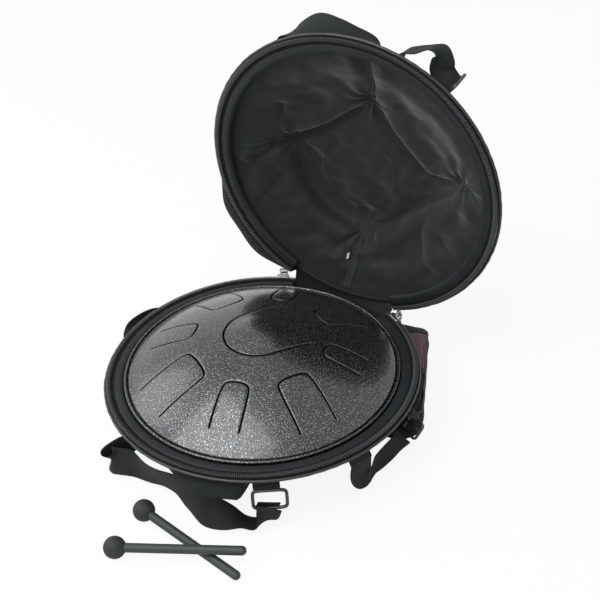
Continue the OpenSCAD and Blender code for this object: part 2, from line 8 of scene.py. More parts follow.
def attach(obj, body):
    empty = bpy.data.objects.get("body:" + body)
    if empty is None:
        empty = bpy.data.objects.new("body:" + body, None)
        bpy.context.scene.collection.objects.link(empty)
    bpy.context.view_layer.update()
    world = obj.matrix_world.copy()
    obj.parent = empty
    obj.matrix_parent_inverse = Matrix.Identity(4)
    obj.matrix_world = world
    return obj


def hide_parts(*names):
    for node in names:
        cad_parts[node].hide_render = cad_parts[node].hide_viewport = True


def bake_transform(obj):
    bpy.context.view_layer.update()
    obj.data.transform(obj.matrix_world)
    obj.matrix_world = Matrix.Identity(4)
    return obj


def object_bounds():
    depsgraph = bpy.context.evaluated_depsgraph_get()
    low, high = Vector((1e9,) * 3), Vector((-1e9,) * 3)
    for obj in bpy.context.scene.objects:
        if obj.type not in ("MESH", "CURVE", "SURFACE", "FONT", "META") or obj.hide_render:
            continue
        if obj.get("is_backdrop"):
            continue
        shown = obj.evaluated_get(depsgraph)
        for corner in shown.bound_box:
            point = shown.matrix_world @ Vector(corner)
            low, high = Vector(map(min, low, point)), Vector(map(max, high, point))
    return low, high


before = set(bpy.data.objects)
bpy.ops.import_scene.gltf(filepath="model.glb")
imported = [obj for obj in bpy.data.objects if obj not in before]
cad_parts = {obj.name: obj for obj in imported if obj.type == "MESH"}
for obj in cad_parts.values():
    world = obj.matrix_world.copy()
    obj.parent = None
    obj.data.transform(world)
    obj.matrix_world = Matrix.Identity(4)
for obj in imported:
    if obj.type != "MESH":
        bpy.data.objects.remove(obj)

cad_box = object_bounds()

# The camera
# The photograph looks down on the bag from its front right corner, a little rolled. The lens is
# given as a focal length in pixels of a 600 pixel wide frame.
elevation, roll, yaw = np.radians([36.55, -3.79, 37.26])
camera_reach = 1.465
camera_offset = np.array([0.0431, 0.0745])
aim_height = 0.074
lens_px, image_px, sensor_mm = 1300.0, 600.0, 36.0
far_clip = 20


def linked(name, data):
    """A new object, linked into the scene."""
    made = bpy.data.objects.new(name, data)
    bpy.context.scene.collection.objects.link(made)
    return made


forward = np.array([0, np.cos(elevation), -np.sin(elevation)])
level = np.array([1.0, 0, 0])
upright = np.cross(level, forward)
right = np.cos(roll) * level + np.sin(roll) * upright
up = -np.sin(roll) * level + np.cos(roll) * upright
yaw_turn = np.array([[np.cos(yaw), -np.sin(yaw), 0], [np.sin(yaw), np.cos(yaw), 0], [0, 0, 1]])
axes = yaw_turn @ np.array([right, up, -forward]).T
place = yaw_turn @ (-forward * camera_reach + camera_offset[0] * right + camera_offset[1] * up)
place[2] += aim_height
camera = linked("camera", bpy.data.cameras.new("camera"))
camera.data.sensor_width = sensor_mm
camera.data.lens = sensor_mm * lens_px / image_px
camera.data.clip_end = far_clip
camera.matrix_world = Matrix.Translation(Vector(place)) @ Matrix(axes.tolist()).to_4x4()
bpy.context.scene.camera = camera


# Bag base: outer cloth, padding and lining
# A shallow cone of woven polyester over foam, with a smooth lining inside, all sewn together
# at the rim. At the left front the loose outer cloth hangs below the rim in a soft swell.
MM = 0.001
rim_z = 74.0
wall_r, bend_d, wall_corner = 175.0, 8.5, 9.0
base_floor_r = 83.0
cloth_t, foam_t, lining_t = 1.5, 5.5, 1.0
wall_top_d, layer_top_d, notch_d = 4.5, 10.0, 12.0
hinge_at, hinge_half = 90.0, 23.0
hang_from, hang_to, hang_reach = -104.0, -62.0, 33.0
cloth_hex = "#121515"
foam_hex = "#5a5d5e"
lining_hex, lining_dark_hex = "#191c1c", "#0f1111"


def linear(hex_colour):
    """Linear RGBA of an sRGB hex colour, by the sRGB transfer curve."""
    part = np.array([int(hex_colour[i:i + 2], 16) / 255 for i in (1, 3, 5)])
    flat = np.where(part <= 0.04045, part / 12.92, ((part + 0.055) / 1.055) ** 2.4)
    return (*flat.tolist(), 1.0)


def add(tree, kind, inputs=None, **settings):
    """Adds a node with its settings. Inputs are values, or sockets to link from."""
    made = tree.nodes.new(kind)
    for key, value in settings.items():
        setattr(made, key, value)
    for key, value in (inputs or {}).items():
        if isinstance(value, bpy.types.NodeSocket):
            tree.links.new(value, made.inputs[key])
        else:
            made.inputs[key].default_value = value
    return made


def blank_material(name):
    """An empty node material and its tree."""
    made = bpy.data.materials.new(name)
    made.use_nodes = True
    made.node_tree.nodes.clear()
    return made, made.node_tree


def principled(tree, inputs):
    """Ends a material in a principled shader with the given inputs."""
    shader = add(tree, "ShaderNodeBsdfPrincipled", inputs)
    add(tree, "ShaderNodeOutputMaterial", {"Surface": shader.outputs[0]})


def ramp(tree, factor, stops):
    """A colour ramp from a factor socket, with (position, hex) stops."""
    made = add(tree, "ShaderNodeValToRGB", {"Fac": factor})
    bar = made.color_ramp.elements
    while len(bar) < len(stops):
        bar.new(0.5)
    for element, (position, colour) in zip(bar, stops):
        element.position = position
        element.color = linear(colour)
    return made.outputs["Color"]


def maths(tree, operation, *values):
    """The result of a maths node on values or sockets."""
    return add(tree, "ShaderNodeMath", dict(enumerate(values)), operation=operation).outputs[0]


def noise(tree, scale, detail=2.0, **more):
    """Noise in the object's own space, with more inputs by name."""
    space = add(tree, "ShaderNodeTexCoord").outputs["Object"]
    inputs = {"Vector": space, "Scale": scale, "Detail": detail, **more}
    return add(tree, "ShaderNodeTexNoise", inputs).outputs["Fac"]


def stripes(tree, way, scale, distortion, detail=2.0):
    """Waves across the piece's own UV, along X or Y. One takes 2 pi / (20 scale) metres."""
    cloth = add(tree, "ShaderNodeUVMap", uv_map="cloth").outputs[0]
    inputs = {"Vector": cloth, "Scale": scale, "Distortion": distortion, "Detail": detail}
    return add(tree, "ShaderNodeTexWave", inputs, bands_direction=way).outputs["Fac"]


def bump(tree, height, strength, mm, **more):
    """A bump after a height socket, so many mm deep, with more inputs by name."""
    inputs = {"Height": height, "Strength": strength, "Distance": mm * MM, **more}
    return add(tree, "ShaderNodeBump", inputs).outputs[0]


def woven_cloth(name, dark, light, thread_mm, depth_mm, rough, sheen, crease_mm=0.0):
    """Plain weave: two crossed waves on the piece's own UV, one thread a period, over
    a soft noise that makes the cloth's shade uneven."""
    made, tree = blank_material(name)
    threads = 1 / (thread_mm * MM) * np.pi * 2 / 20
    weave = maths(tree, "MULTIPLY", stripes(tree, "X", threads, 0.6, 1.0),
                  stripes(tree, "Y", threads, 0.6, 1.0))
    tone = maths(tree, "MULTIPLY_ADD", weave, 0.35, noise(tree, 14.0, 4.0, Roughness=0.6))
    folds = bump(tree, noise(tree, 38.0, 3.0, Distortion=0.8), 0.6, crease_mm)
    principled(tree, {"Base Color": ramp(tree, tone, [(0.3, dark), (1.0, light)]),
                      "Roughness": rough, "Sheen Weight": sheen, "Sheen Roughness": 0.5,
                      "IOR": 1.5, "Specular IOR Level": 0.2,
                      "Normal": bump(tree, weave, 0.7, depth_mm, Normal=folds)})
    return made


def grid_faces(nu, nv, wrap_u, wrap_v):
    """Quads of a grid of nu rows and nv columns, and each corner's row and column."""
    rows, columns = np.meshgrid(np.arange(nu if wrap_u else nu - 1),
                                np.arange(nv if wrap_v else nv - 1), indexing="ij")
    rows, columns = rows.ravel(), columns.ravel()
    u = np.stack([rows, rows + 1, rows + 1, rows], 1)
    v = np.stack([columns, columns, columns + 1, columns + 1], 1)
    return (u % nu) * nv + v % nv, u, v


def lengths(points, wrap):
    """Running length in metres along the first axis, averaged over the second."""
    closed = np.concatenate([points, points[:1]]) if wrap else points
    steps = np.linalg.norm(np.diff(closed, axis=0), axis=2).mean(axis=1)
    return np.concatenate([[0], np.cumsum(steps)]) * MM


def surface(name, *grids):
    """One mesh object from grids of points in mm, each (points, wrap_u, wrap_v). Doubles are
    merged and faces turned outwards. The UV map holds lengths along and across in metres."""
    points, faces, cloth, count = [], [], [], 0
    for grid, wrap_u, wrap_v in grids:
        grid = np.asarray(grid, float)
        quads, u, v = grid_faces(*grid.shape[:2], wrap_u, wrap_v)
        along = lengths(grid, wrap_u)
        over = lengths(grid.transpose(1, 0, 2), wrap_v)
        cloth.append(np.stack([along[u], over[v]], -1).reshape(-1, 2))
        points.append(grid.reshape(-1, 3) * MM)
        faces.append(quads + count)
        count += len(points[-1])
    mesh = bpy.data.meshes.new(name)
    mesh.from_pydata(np.concatenate(points), [], np.concatenate(faces).tolist())
    mesh.uv_layers.new(name="cloth").data.foreach_set("uv", np.concatenate(cloth).ravel())
    shell = bmesh.new()
    shell.from_mesh(mesh)
    bmesh.ops.remove_doubles(shell, verts=shell.verts, dist=1e-6)
    bmesh.ops.recalc_face_normals(shell, faces=shell.faces)
    shell.to_mesh(mesh)
    shell.free()
    mesh.shade_smooth()
    return linked(name, mesh)


def shut(points):
    """A grid for surface, closed both ways."""
    return points, True, True


def folded(face, back):
    """A grid that runs out over one face and back over the other."""
    return np.concatenate([face, back[:, ::-1]], axis=1)


def polar(r, a, z):
    """Points at radius r, azimuth a in radians and height z."""
    return np.stack(np.broadcast_arrays(r * np.cos(a), r * np.sin(a), z), -1)


def fit(made, material, body, slot, *nodes):
    """Gives a piece its material and body, and hides the CAD nodes it stands for. The slot is not
    used.
    """
    made.data.materials.append(material)
    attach(made, body)
    if nodes:
        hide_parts(*nodes)


def ease(x, start, end):
    """Smooth step from 0 at start to 1 at end."""
    t = np.clip((x - start) / (end - start), 0, 1)
    return t * t * (3 - 2 * t)


def apart(a, b):
    """Difference of two angles in degrees, between -180 and 180."""
    return (a - b + 180) % 360 - 180


def wrinkles(a, d, seed, count=9):
    """Soft creases: a seeded sum of sines in azimuth that drift with depth."""
    lot = np.random.default_rng(seed)
    total = np.zeros(np.broadcast(a, d).shape)
    for _ in range(count):
        waves, lean, phase = lot.integers(4, 26), lot.uniform(-0.08, 0.08), lot.uniform(0, 6.3)
        total += np.sin(np.radians(a) * waves + lean * d + phase) / waves ** 0.6
    return total / count


def cone_wall(end_r, depth, t, top, swell, azimuths=360, rows=30):
    """One face of a bag's wall as radius and depth on a grid: down the cone, round the corner
    in a quadratic curve and over the flat end, t inside the outer face, with swell added to
    the radius."""
    a = np.arange(azimuths)[:, None] * 360 / azimuths
    slope = (wall_r - end_r) / (depth - bend_d)
    inset = t * np.hypot(1, slope)
    notch = 1 - ease(np.abs(apart(a, hinge_at)), hinge_half - 1, hinge_half + 0.5)
    edge = top + (notch_d - top) * notch * (top < notch_d)
    d_wall = edge + np.linspace(0, 1, rows) * (depth - wall_corner - edge)
    below = d_wall - bend_d
    r_wall = wall_r - inset - slope * 0.5 * (below + np.hypot(below, 1)) + swell(a, d_wall)
    s = np.linspace(0, 1, 9)[None, 1:]
    r0, r1, r2 = r_wall[:, -1:], end_r - inset, end_r - inset - wall_corner
    r_bend = (1 - s) ** 2 * r0 + 2 * s * (1 - s) * r1 + s ** 2 * r2
    d_bend = (1 - s) ** 2 * (depth - wall_corner) + (1 - (1 - s) ** 2) * (depth - t) + 0 * a
    r_flat = r2 * np.linspace(1, 0, 12)[None, 1:] + 0 * a
    d_flat = np.full_like(r_flat, depth - t)
    return np.hstack([r_wall, r_bend, r_flat]), np.hstack([d_wall, d_bend, d_flat])


def wall_shell(end_r, depth, t0, t1, top, swell):
    """A closed layer of a bag's wall: its outer face, then back along its inner face. Gives
    points with z as the depth from the rim."""
    outer = cone_wall(end_r, depth, t0, top, swell)
    inner = cone_wall(end_r, depth, t1, top, swell)
    r, d = [folded(face, back) for face, back in zip(outer, inner)]
    return polar(r, np.radians(np.arange(len(r)) * 360 / len(r))[:, None], d)


def base_side(points):
    """Depths below the rim become heights in the base."""
    return points * [1, 1, -1] + [0, 0, rim_z]


def base_swell(a, d):
    """The base's loose cloth: creases all over, and the hanging swell at the left front."""
    hang = ease(apart(a, hang_from), 0, 34) * (1 - ease(apart(a, hang_to), 0, 5))
    side = ease(d, 9, 24) * (1 - ease(d, 26, 58))
    return 1.5 * wrinkles(a, d, 3) * ease(d, 8, 20) + hang_reach * hang * side


def still(a, d):
    """No swell."""
    return 0 * a * d


def lay(side, body, end_r, depth, *layers):
    """Builds the layers of one half's wall. Each is its name, the depths in the wall where it
    starts and ends, the depth of its edge, its swell, material, slot and node."""
    for name, t0, t1, top, swell, stuff, slot, node in layers:
        wall = side(wall_shell(end_r, depth, t0, t1, top, swell))
        fit(surface(name, shut(wall)), stuff, body, slot, node)


outer_cloth = woven_cloth("woven_polyester_outer", cloth_hex, "#1f2424", 1.1, 0.25, 0.8, 0.03, 1.2)
foam_sheet = woven_cloth("cut_polyurethane_foam", "#4c4f50", foam_hex, 2.0, 0.2, 0.95, 0.0, 0.5)
lining_cloth = woven_cloth("smooth_polyester_lining", lining_dark_hex, lining_hex, 0.9, 0.08, 0.6,
                           0.25, 0.6)

lining_from = cloth_t + foam_t
lay(base_side, "bag", base_floor_r, rim_z,
    ("base_outer_cloth", 0, cloth_t, wall_top_d, base_swell, outer_cloth, "outer_cloth",
     "base_cover"),
    ("base_padding", cloth_t, lining_from, layer_top_d, still, foam_sheet, "foam", "base_foam"),
    ("base_lining_cloth", lining_from, lining_from + lining_t, layer_top_d, still, lining_cloth,
     "lining_cloth", "base_lining"))


# Board under the lining
# A stiff sheet of grey fibreboard that keeps the bag's underside flat. The drum hides it, and
# only its material is set here.
board_grey, board_tree = blank_material("grey_fibreboard")
board_tone = ramp(board_tree, noise(board_tree, 300.0, 4.0), [(0.3, "#2c2f30"), (0.7, "#44484a")])
principled(board_tree, {"Base Color": board_tone, "Roughness": 0.9, "IOR": 1.5})
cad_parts["base_board"].data.materials.clear()
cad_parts["base_board"].data.materials.append(board_grey)


# Rims of the base and the lid: satin band, zip tape, zip coil and piping
# The same four rings edge both halves: a padded satin band inside, a flat tape, half of a nylon
# coil zip and a corded edge. Depths are counted from the plane in which the zip closes.
zip_r = 174.0
coil_d, coil_r = 2.2, 2.0
tooth_pitch, wire_r = 2.2, 0.56
tape_d, tape_t, tape_half, tape_in = 3.2, 1.0, 5.2, 5.3
band_in_r, band_w, band_d, band_h = 156.4, 11.5, 2.2, 7.5
piping_r, piping_d = 1.9, 6.5
lid_gap = 1.4
hinge_y, hinge_z = 161.6, 78.2
lid_open, hinge_lean = 89.3, 7.3
rim_from, rim_to = hinge_at + hinge_half, hinge_at + 360 - hinge_half


def turned_about_hinge(points):
    """Closed lid to open lid: Rodrigues' rotation about the leaning hinge line."""
    lean = np.radians(hinge_lean)
    line = Vector((-np.cos(lean), 0, np.sin(lean)))
    turn = np.array(Matrix.Rotation(np.radians(lid_open), 3, line))
    hinge = np.array([0, hinge_y, hinge_z])
    return (points - hinge) @ turn.T + hinge


def lid_side(points):
    """Depths from the rim plane become the open lid."""
    return turned_about_hinge(points + [0, 0, rim_z + lid_gap])


def bent(v, power):
    """A sine or cosine to the power 2 / power, with its sign kept."""
    return np.sign(v) * np.abs(v) ** (2 / power)


def oval(half_r, half_d, power=2.0, count=16):
    """A superellipse as offsets in radius and depth: the bent cosine and sine of each angle."""
    t = np.arange(count) * 2 * np.pi / count
    return np.stack([half_r * bent(np.cos(t), power), half_d * bent(np.sin(t), power)], 1)


def rolled(points):
    """A grid for surface, closed over its columns alone."""
    return points, False, True


def tube(rows):
    """A grid for surface, closed over its columns, with each end drawn into its middle."""
    ends = [row.mean(axis=1, keepdims=True) + 0 * row for row in (rows[:1], rows[-1:])]
    return rolled(np.concatenate([ends[0], rows, ends[1]]))


def rim_ring(r, d, profile, steps=900, wobble=0.0, seed=1):
    """A rod along the rim with the given profile round radius r and depth d, open at the hinge.
    The wobble pushes it in and out by seeded sines."""
    lot = np.random.default_rng(seed)
    a = np.linspace(rim_from, rim_to, steps)
    waves = [(lot.integers(9, 90), lot.uniform(0, 6.3)) for _ in range(10)]
    push = wobble * sum(np.sin(np.radians(a) * n + p) for n, p in waves)[:, None] / 5
    swell = 1 + 0.5 * push / max(np.abs(profile).max(), 1)
    radii = r + 0.5 * push + profile[None, :, 0] * swell
    return polar(radii, np.radians(a)[:, None], d + profile[None, :, 1] * swell)


def zip_teeth():
    """The half of a coil zip: one helix of nylon wire along the rim, a turn for each tooth, as
    a tube of five sides. The helix is flattened and lies over the tape's edge. Its turns are
    drawn wider apart than the 1.5 mm of the real zip, so that they can be seen."""
    span = np.radians(rim_to - rim_from)
    turns = int(span * zip_r / tooth_pitch)
    t = np.linspace(0, 1, turns * 8 + 1)
    wind = 2 * np.pi * turns * t
    a = np.radians(rim_from) + span * t
    side = np.arange(5) * 2 * np.pi / 5
    reach_r, reach_d = coil_r + 0.75, coil_r - wire_r
    r = zip_r - 1.0 + np.cos(wind)[:, None] * (reach_r + wire_r * np.cos(side)[None, :])
    d = coil_d + np.sin(wind)[:, None] * (reach_d + wire_r * np.cos(side)[None, :])
    turn = a[:, None] + wire_r * np.sin(side)[None, :] / zip_r
    return polar(r, turn, d)


def smooth_plastic(name, colour, rough, grain_mm, grain_scale, ior=1.5):
    """Moulded plastic or rubber: a plain colour with a fine uneven skin."""
    made, tree = blank_material(name)
    skin = bump(tree, noise(tree, grain_scale, 3.0), 0.5, grain_mm)
    principled(tree, {"Base Color": linear(colour), "Roughness": rough, "IOR": ior, "Normal": skin})
    return made


satin_band = woven_cloth("satin_rim_band", "#121617", "#242a2c", 1.0, 0.06, 0.5, 0.05, 0.9)
zip_tape = woven_cloth("woven_zip_tape", "#0a0b0c", "#141718", 1.2, 0.2, 0.85, 0.0)
piping_vinyl = smooth_plastic("vinyl_piping", "#191d1e", 0.3, 0.08, 260.0, 1.52)
nylon_coil = smooth_plastic("nylon_zip_coil", "#363c3e", 0.3, 0.02, 900.0, 1.53)
band_profile = oval(band_w / 2, band_h / 2, 2.4, 20)
tape_profile = np.array([[-1, -0.4], [1, -0.5], [1, 0.5], [-1, 0.4]]) * [tape_half, tape_t]

for half, side, body in (("base", base_side, "bag"), ("lid", lid_side, "lid")):
    padding = rim_ring(band_in_r + band_w / 2, band_d + band_h / 2, band_profile, wobble=0.35,
                       seed=len(half))
    tape = rim_ring(zip_r - tape_in, tape_d + tape_t / 2, tape_profile)
    cord = rim_ring(wall_r + piping_r, piping_d, oval(piping_r, piping_r), wobble=0.25, seed=7)
    for name, ring, stuff, slot, node in (
            ("rim_padded_band", padding, satin_band, "satin_band", "rim_band"),
            ("zip_woven_tape", tape, zip_tape, "zip_tape", "zip_tape"),
            ("zip_teeth", zip_teeth(), nylon_coil, "zip_coil", "zip_coil"),
            ("corded_edge", cord, piping_vinyl, "piping_cloth", "piping")):
        fit(surface(f"{half}_{name}", tube(side(ring))), stuff, body, slot, f"{half}_{node}")


# Cloth hinge
# A strip of the outer cloth joins the base to the lid between the ends of the zip, built here as it
# lies with the lid open. It laps over the edge of each half.
hinge_steps, hinge_rows = 90, 26
hinge_t, hinge_inset, hinge_bulge = 1.3, 0.4, 2.2
base_lap, lid_lap = 3.0, 1.5
lid_crown_r, lid_depth = 75.0, 68.0


def hinge_cloth(t):
    """A strip that climbs from the base's edge to the lid's, bulging outwards a little in the
    middle, t thick: out along one face and back along the other."""
    a = np.radians(np.linspace(hinge_at - hinge_half, hinge_at + hinge_half, hinge_steps))[:, None]
    low_r, top_r = [wall_r - (notch_d - bend_d) * (wall_r - end_r) / (depth - bend_d) - hinge_inset
                    for end_r, depth in ((base_floor_r, rim_z), (lid_crown_r, lid_depth))]
    low = polar(low_r, a, rim_z - notch_d - base_lap)
    high = lid_side(polar(top_r, a, notch_d + lid_lap))
    share = np.linspace(0, 1, hinge_rows)[None, :, None]
    out = polar(1, a, 0)
    face = low * (1 - share) + high * share + out * hinge_bulge * np.sin(np.pi * share)
    return folded(face, face - out * t)


hinge_piece = surface("hinge_cloth", tube(hinge_cloth(hinge_t)))
hinge_piece.data.materials.append(outer_cloth)
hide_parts("hinge_strip")
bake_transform(hinge_piece)


# Tongue drum
# Two domes of steel sheet with a dark hammered coat meet in a rolled seam. Nine cuts free the
# tongues. Each cut is a row of corner points along and across its tongue, rounded before use.
drum_r, drum_z, bead_r = 152.5, 72.3, 1.8
steel_t = 2.0
dome_h, bowl_h = 52.0, 56.0
boss_r, boss_h = 27.0, 5.0
slot_w = 1.6
slot_round = 0.7
tongue_first, tongue_pitch = -116.5, 45
tongue_half = [25.9, 16.8, 21.4, 13.7, 18.3, 13.7, 22.9, 16.8]
tongue_out = [135.7, 125.8, 132.7, 119.0, 126.6, 113.6, 122.0, 125.8]
tongue_in, tongue_corner = 75.0, 7.0
centre_r, centre_arm, centre_turn = 39.0, 44.0, 60
foot_r, feet_pitch_r, foot_h = 8.0, 52.0, 6.0
floor_t = 10.0
net_pitch, rim_points, cut_step = 2.2, 480, 1.6
edge_sink = 0.55


def dome_height(r):
    """A sphere's cap over the joint, with the note boss as a second cap blended on: a smooth
    maximum of the two, the log of a sum of exponentials."""
    def cap(radius, height):
        ball = (radius ** 2 + height ** 2) / (2 * height)
        return np.sqrt(np.maximum(ball ** 2 - r ** 2, 1)) - ball + height
    dome = cap(drum_r, dome_h)
    boss = cap(boss_r, boss_h) + dome_h
    blend = 0.9
    return np.where(r < 1.6 * boss_r, blend * np.logaddexp(dome / blend, boss / blend), dome)


def rounded(points, times=3):
    """Chaikin's corner cutting of an open line, ends kept: each corner gives way to points a
    quarter and three quarters along its sides."""
    for _ in range(times):
        a, b = points[:-1], points[1:]
        cut = np.stack([0.75 * a + 0.25 * b, 0.25 * a + 0.75 * b], 1).reshape(-1, 2)
        points = np.concatenate([points[:1], cut[1:-1], points[-1:]])
    return points


def unit(rows):
    """Rows of vectors, each made one long."""
    return rows / np.linalg.norm(rows, axis=1, keepdims=True)


def heading(line):
    """Unit directions along a line of points."""
    return unit(np.gradient(line, axis=0))


def leftwards(ahead):
    """Flat directions turned a quarter to the left."""
    return ahead[:, ::-1] * [-1, 1]


def on_circle(a):
    """Unit vectors at angles in radians."""
    return np.stack([np.cos(a), np.sin(a)], -1)


def slot_outline(line, half):
    """The outline of a cut: both sides of its middle line, with half round ends."""
    ahead = heading(line)
    left = leftwards(ahead)
    t = np.linspace(0, np.pi, 7)[1:-1, None]
    far = line[-1] + half * (np.cos(t) * left[-1] + np.sin(t) * ahead[-1])
    near = line[0] + half * (-np.cos(t) * left[0] - np.sin(t) * ahead[0])
    return np.concatenate([line + half * left, far, (line - half * left)[::-1], near])


def resampled(line, step):
    """Points at about equal steps along a line, ends kept."""
    run = np.concatenate([[0], np.cumsum(np.linalg.norm(np.diff(line, axis=0), axis=1))])
    at = np.linspace(0, run[-1], int(run[-1] / step) + 2)
    return np.stack([np.interp(at, run, line[:, k]) for k in (0, 1)], 1)


def drum_cuts():
    """The middle lines of the nine cuts, on the drum's own plane."""
    cuts = []
    for i, (half, out) in enumerate(zip(tongue_half, tongue_out)):
        c, inner = tongue_corner, tongue_in
        line = np.array([[out, -half], [inner + c, -0.94 * half], [inner, c - half],
                         [inner, half - c], [inner + c, 0.94 * half], [out, half]])
        cuts.append((line, tongue_first + i * tongue_pitch))
    half_ring = centre_r * on_circle(np.radians(np.linspace(180, 360, 40)))
    arms = [[[-centre_r, centre_arm]], half_ring, [[centre_r, centre_arm]]]
    cuts.append((np.concatenate(arms), centre_turn - 90))
    lines = []
    for line, turn in cuts:
        c, s = on_circle(np.radians(turn))
        lines.append(resampled(rounded(line), cut_step) @ np.array([[c, s], [-s, c]]))
    return lines


def inside(points, outline):
    """Which points lie in an outline, by counting the sides that cross a ray along x."""
    a, b = outline, np.roll(outline, -1, axis=0)
    px, py = points[:, 0, None], points[:, 1, None]
    spans = (a[:, 1] > py) != (b[:, 1] > py)
    rise = np.where(b[:, 1] == a[:, 1], 1, b[:, 1] - a[:, 1])
    return (spans & (px < a[:, 0] + (py - a[:, 1]) / rise * (b[:, 0] - a[:, 0]))).sum(1) % 2 == 1


def dome_net():
    """A flat net of the top: the constrained Delaunay triangles of rings of points and the
    cuts' outlines, without the cuts. A second outline runs round each cut. Gives the points,
    the triangles, and which points edge a cut."""
    lines = drum_cuts()
    edges, guards, wide = [[slot_outline(line, slot_w / 2 + more) for line in lines]
                           for more in (0, slot_round, slot_round + 0.5 * net_pitch)]
    net = [np.zeros((1, 2))]
    for r in np.arange(net_pitch, drum_r - net_pitch / 2, net_pitch):
        count = int(round(2 * np.pi * r / net_pitch))
        net.append(r * on_circle(np.arange(count) * 2 * np.pi / count))
    net = np.concatenate(net)
    net = net[~np.any([inside(net, outline) for outline in wide], axis=0)]
    rim = drum_r * on_circle(np.arange(rim_points) * 2 * np.pi / rim_points)
    points, links, count = [net], [], len(net)
    for outline in [rim, *edges, *guards]:
        at = np.arange(len(outline)) + count
        links += np.stack([at, np.roll(at, -1)], 1).tolist()
        points.append(outline)
        count += len(outline)
    flat = [Vector(p) for p in np.concatenate(points)]
    flat, _, faces, *_ = delaunay_2d_cdt(flat, links, [], 0, 1e-5)
    flat, faces = np.array([tuple(p) for p in flat]), np.array(faces)
    middle = flat[faces].mean(axis=1)
    faces = faces[~np.any([inside(middle, outline) for outline in edges], axis=0)]
    edged = np.full(len(flat), False)
    for p in np.concatenate(edges):
        edged |= np.hypot(*(flat - p).T) < 1e-3
    return flat, faces, edged


def drum_top():
    """The top dome: the net lifted to the dome's height and given the sheet's thickness. The
    edge of each cut is sunk a little, which rounds the coated edge."""
    flat, faces, edged = dome_net()
    z = dome_height(np.hypot(*flat.T)) - edge_sink * slot_round * edged
    top = np.column_stack([flat, z])
    ball = (drum_r ** 2 + dome_h ** 2) / (2 * dome_h)
    under = top - steel_t * unit(np.column_stack([flat, ball - dome_h + z]))
    under[:, 2] = np.maximum(under[:, 2], 0.0)
    sides = np.concatenate([faces[:, [0, 1]], faces[:, [1, 2]], faces[:, [2, 0]]])
    _, inverse, uses = np.unique(np.sort(sides, axis=1), axis=0, return_inverse=True,
                                 return_counts=True)
    rim = sides[uses[inverse.ravel()] == 1]
    walls = np.column_stack([rim[:, 1], rim[:, 0], rim[:, 0] + len(top), rim[:, 1] + len(top)])
    mesh = bpy.data.meshes.new("drum_top_dome")
    points = (np.concatenate([top, under]) + [0, 0, drum_z]) * MM
    polygons = faces.tolist() + (faces[:, ::-1] + len(top)).tolist() + walls.tolist()
    mesh.from_pydata(points, [], polygons)
    mesh.shade_smooth()
    # Marks the cut edges, where the coat is painted black as shade in the cuts.
    mark = mesh.attributes.new("cut_edge_shade", "FLOAT", "POINT")
    mark.data.foreach_set("value", np.tile(edged, 2).astype(np.float32))
    return linked("drum_top_dome", mesh)


def turned_about_z(r, z, steps=360):
    """A closed profile in radius and height, turned about the drum's middle."""
    return polar(r, np.arange(steps)[:, None] * 2 * np.pi / steps, z)


def spread(tree, value, low, high, start=0.0, end=1.0):
    """A socket's values from start to end, mapped to low to high."""
    inputs = {"Value": value, "From Min": start, "From Max": end, "To Min": low, "To Max": high}
    return add(tree, "ShaderNodeMapRange", inputs).outputs[0]


def hammered_enamel():
    """Hammertone coat on steel: a black gloss with bright metal flakes. The flakes are noise of
    about 1.5 mm cut off at a level, coarser than the real grain of 1 mm, and stand a little proud
    of the black. They leave out the cuts' edges, which the attribute marks: that thin black band
    round each cut is painted shade, which darkens and widens the cuts."""
    made, tree = blank_material("hammered_powder_coat")
    grain = noise(tree, 760.0, 2.0, Roughness=0.55)
    # The cuts' edges lose their flakes: painted shade along each cut.
    edge = add(tree, "ShaderNodeAttribute", attribute_name="cut_edge_shade").outputs["Fac"]
    flakes = maths(tree, "MULTIPLY", spread(tree, grain, 0.0, 1.0, 0.45, 0.66),
                   maths(tree, "SUBTRACT", 1.0, edge))
    colour = ramp(tree, flakes, [(0.0, "#0a0b0c"), (0.4, "#24282a"), (1.0, "#878c8e")])
    principled(tree, {"Base Color": colour, "Roughness": spread(tree, flakes, 0.24, 0.34),
                      "Metallic": flakes, "Coat Weight": 0.5, "Coat Roughness": 0.12,
                      "Normal": bump(tree, grain, 0.8, 0.28)})
    return made


enamel = hammered_enamel()
foot_rubber = smooth_plastic("black_rubber", "#1b1c1d", 0.7, 0.05, 400.0, 1.52)
fit(drum_top(), enamel, "drum", "drum_enamel", "drum_top_shell")
bowl_ball = (drum_r ** 2 + bowl_h ** 2) / (2 * bowl_h)
fall = np.linspace(0, 1, 60)
outer_r, inner_r = drum_r * fall, (drum_r - steel_t) * fall[::-1]
outer_z = bowl_ball - bowl_h - np.sqrt(bowl_ball ** 2 - outer_r ** 2)
inner_z = bowl_ball - bowl_h - np.sqrt((bowl_ball - steel_t) ** 2 - inner_r ** 2)
bowl = turned_about_z(np.concatenate([outer_r, inner_r]),
                      drum_z + np.minimum(np.concatenate([outer_z, inner_z]), 0))
fit(surface("drum_bottom_bowl", (bowl, True, False)), enamel, "drum", "drum_enamel",
    "drum_bottom_shell")
seam = oval(bead_r, bead_r, 2.2, 20) + [drum_r + bead_r - 0.2, drum_z]
fit(surface("drum_rolled_seam", shut(turned_about_z(*seam.T, steps=720))), enamel, "drum",
    "drum_enamel", "drum_seam_bead")
foot_profile = np.array([[0, 0], [foot_r - 1.5, 0], [foot_r - 0.4, 0.5], [foot_r, 1.6],
                         [foot_r - 0.6, foot_h], [foot_r - 2, foot_h + 5.2], [0, foot_h + 5.8]])
foot = turned_about_z(*foot_profile.T, steps=48)
for k in range(4):
    stand = polar(feet_pitch_r, np.radians(45 + 90 * k), floor_t + 0.3)
    fit(surface(f"rubber_foot_{k + 1}", (foot + stand, True, False)), foot_rubber, "drum",
        "foot_rubber", f"drum_foot_{k + 1}")


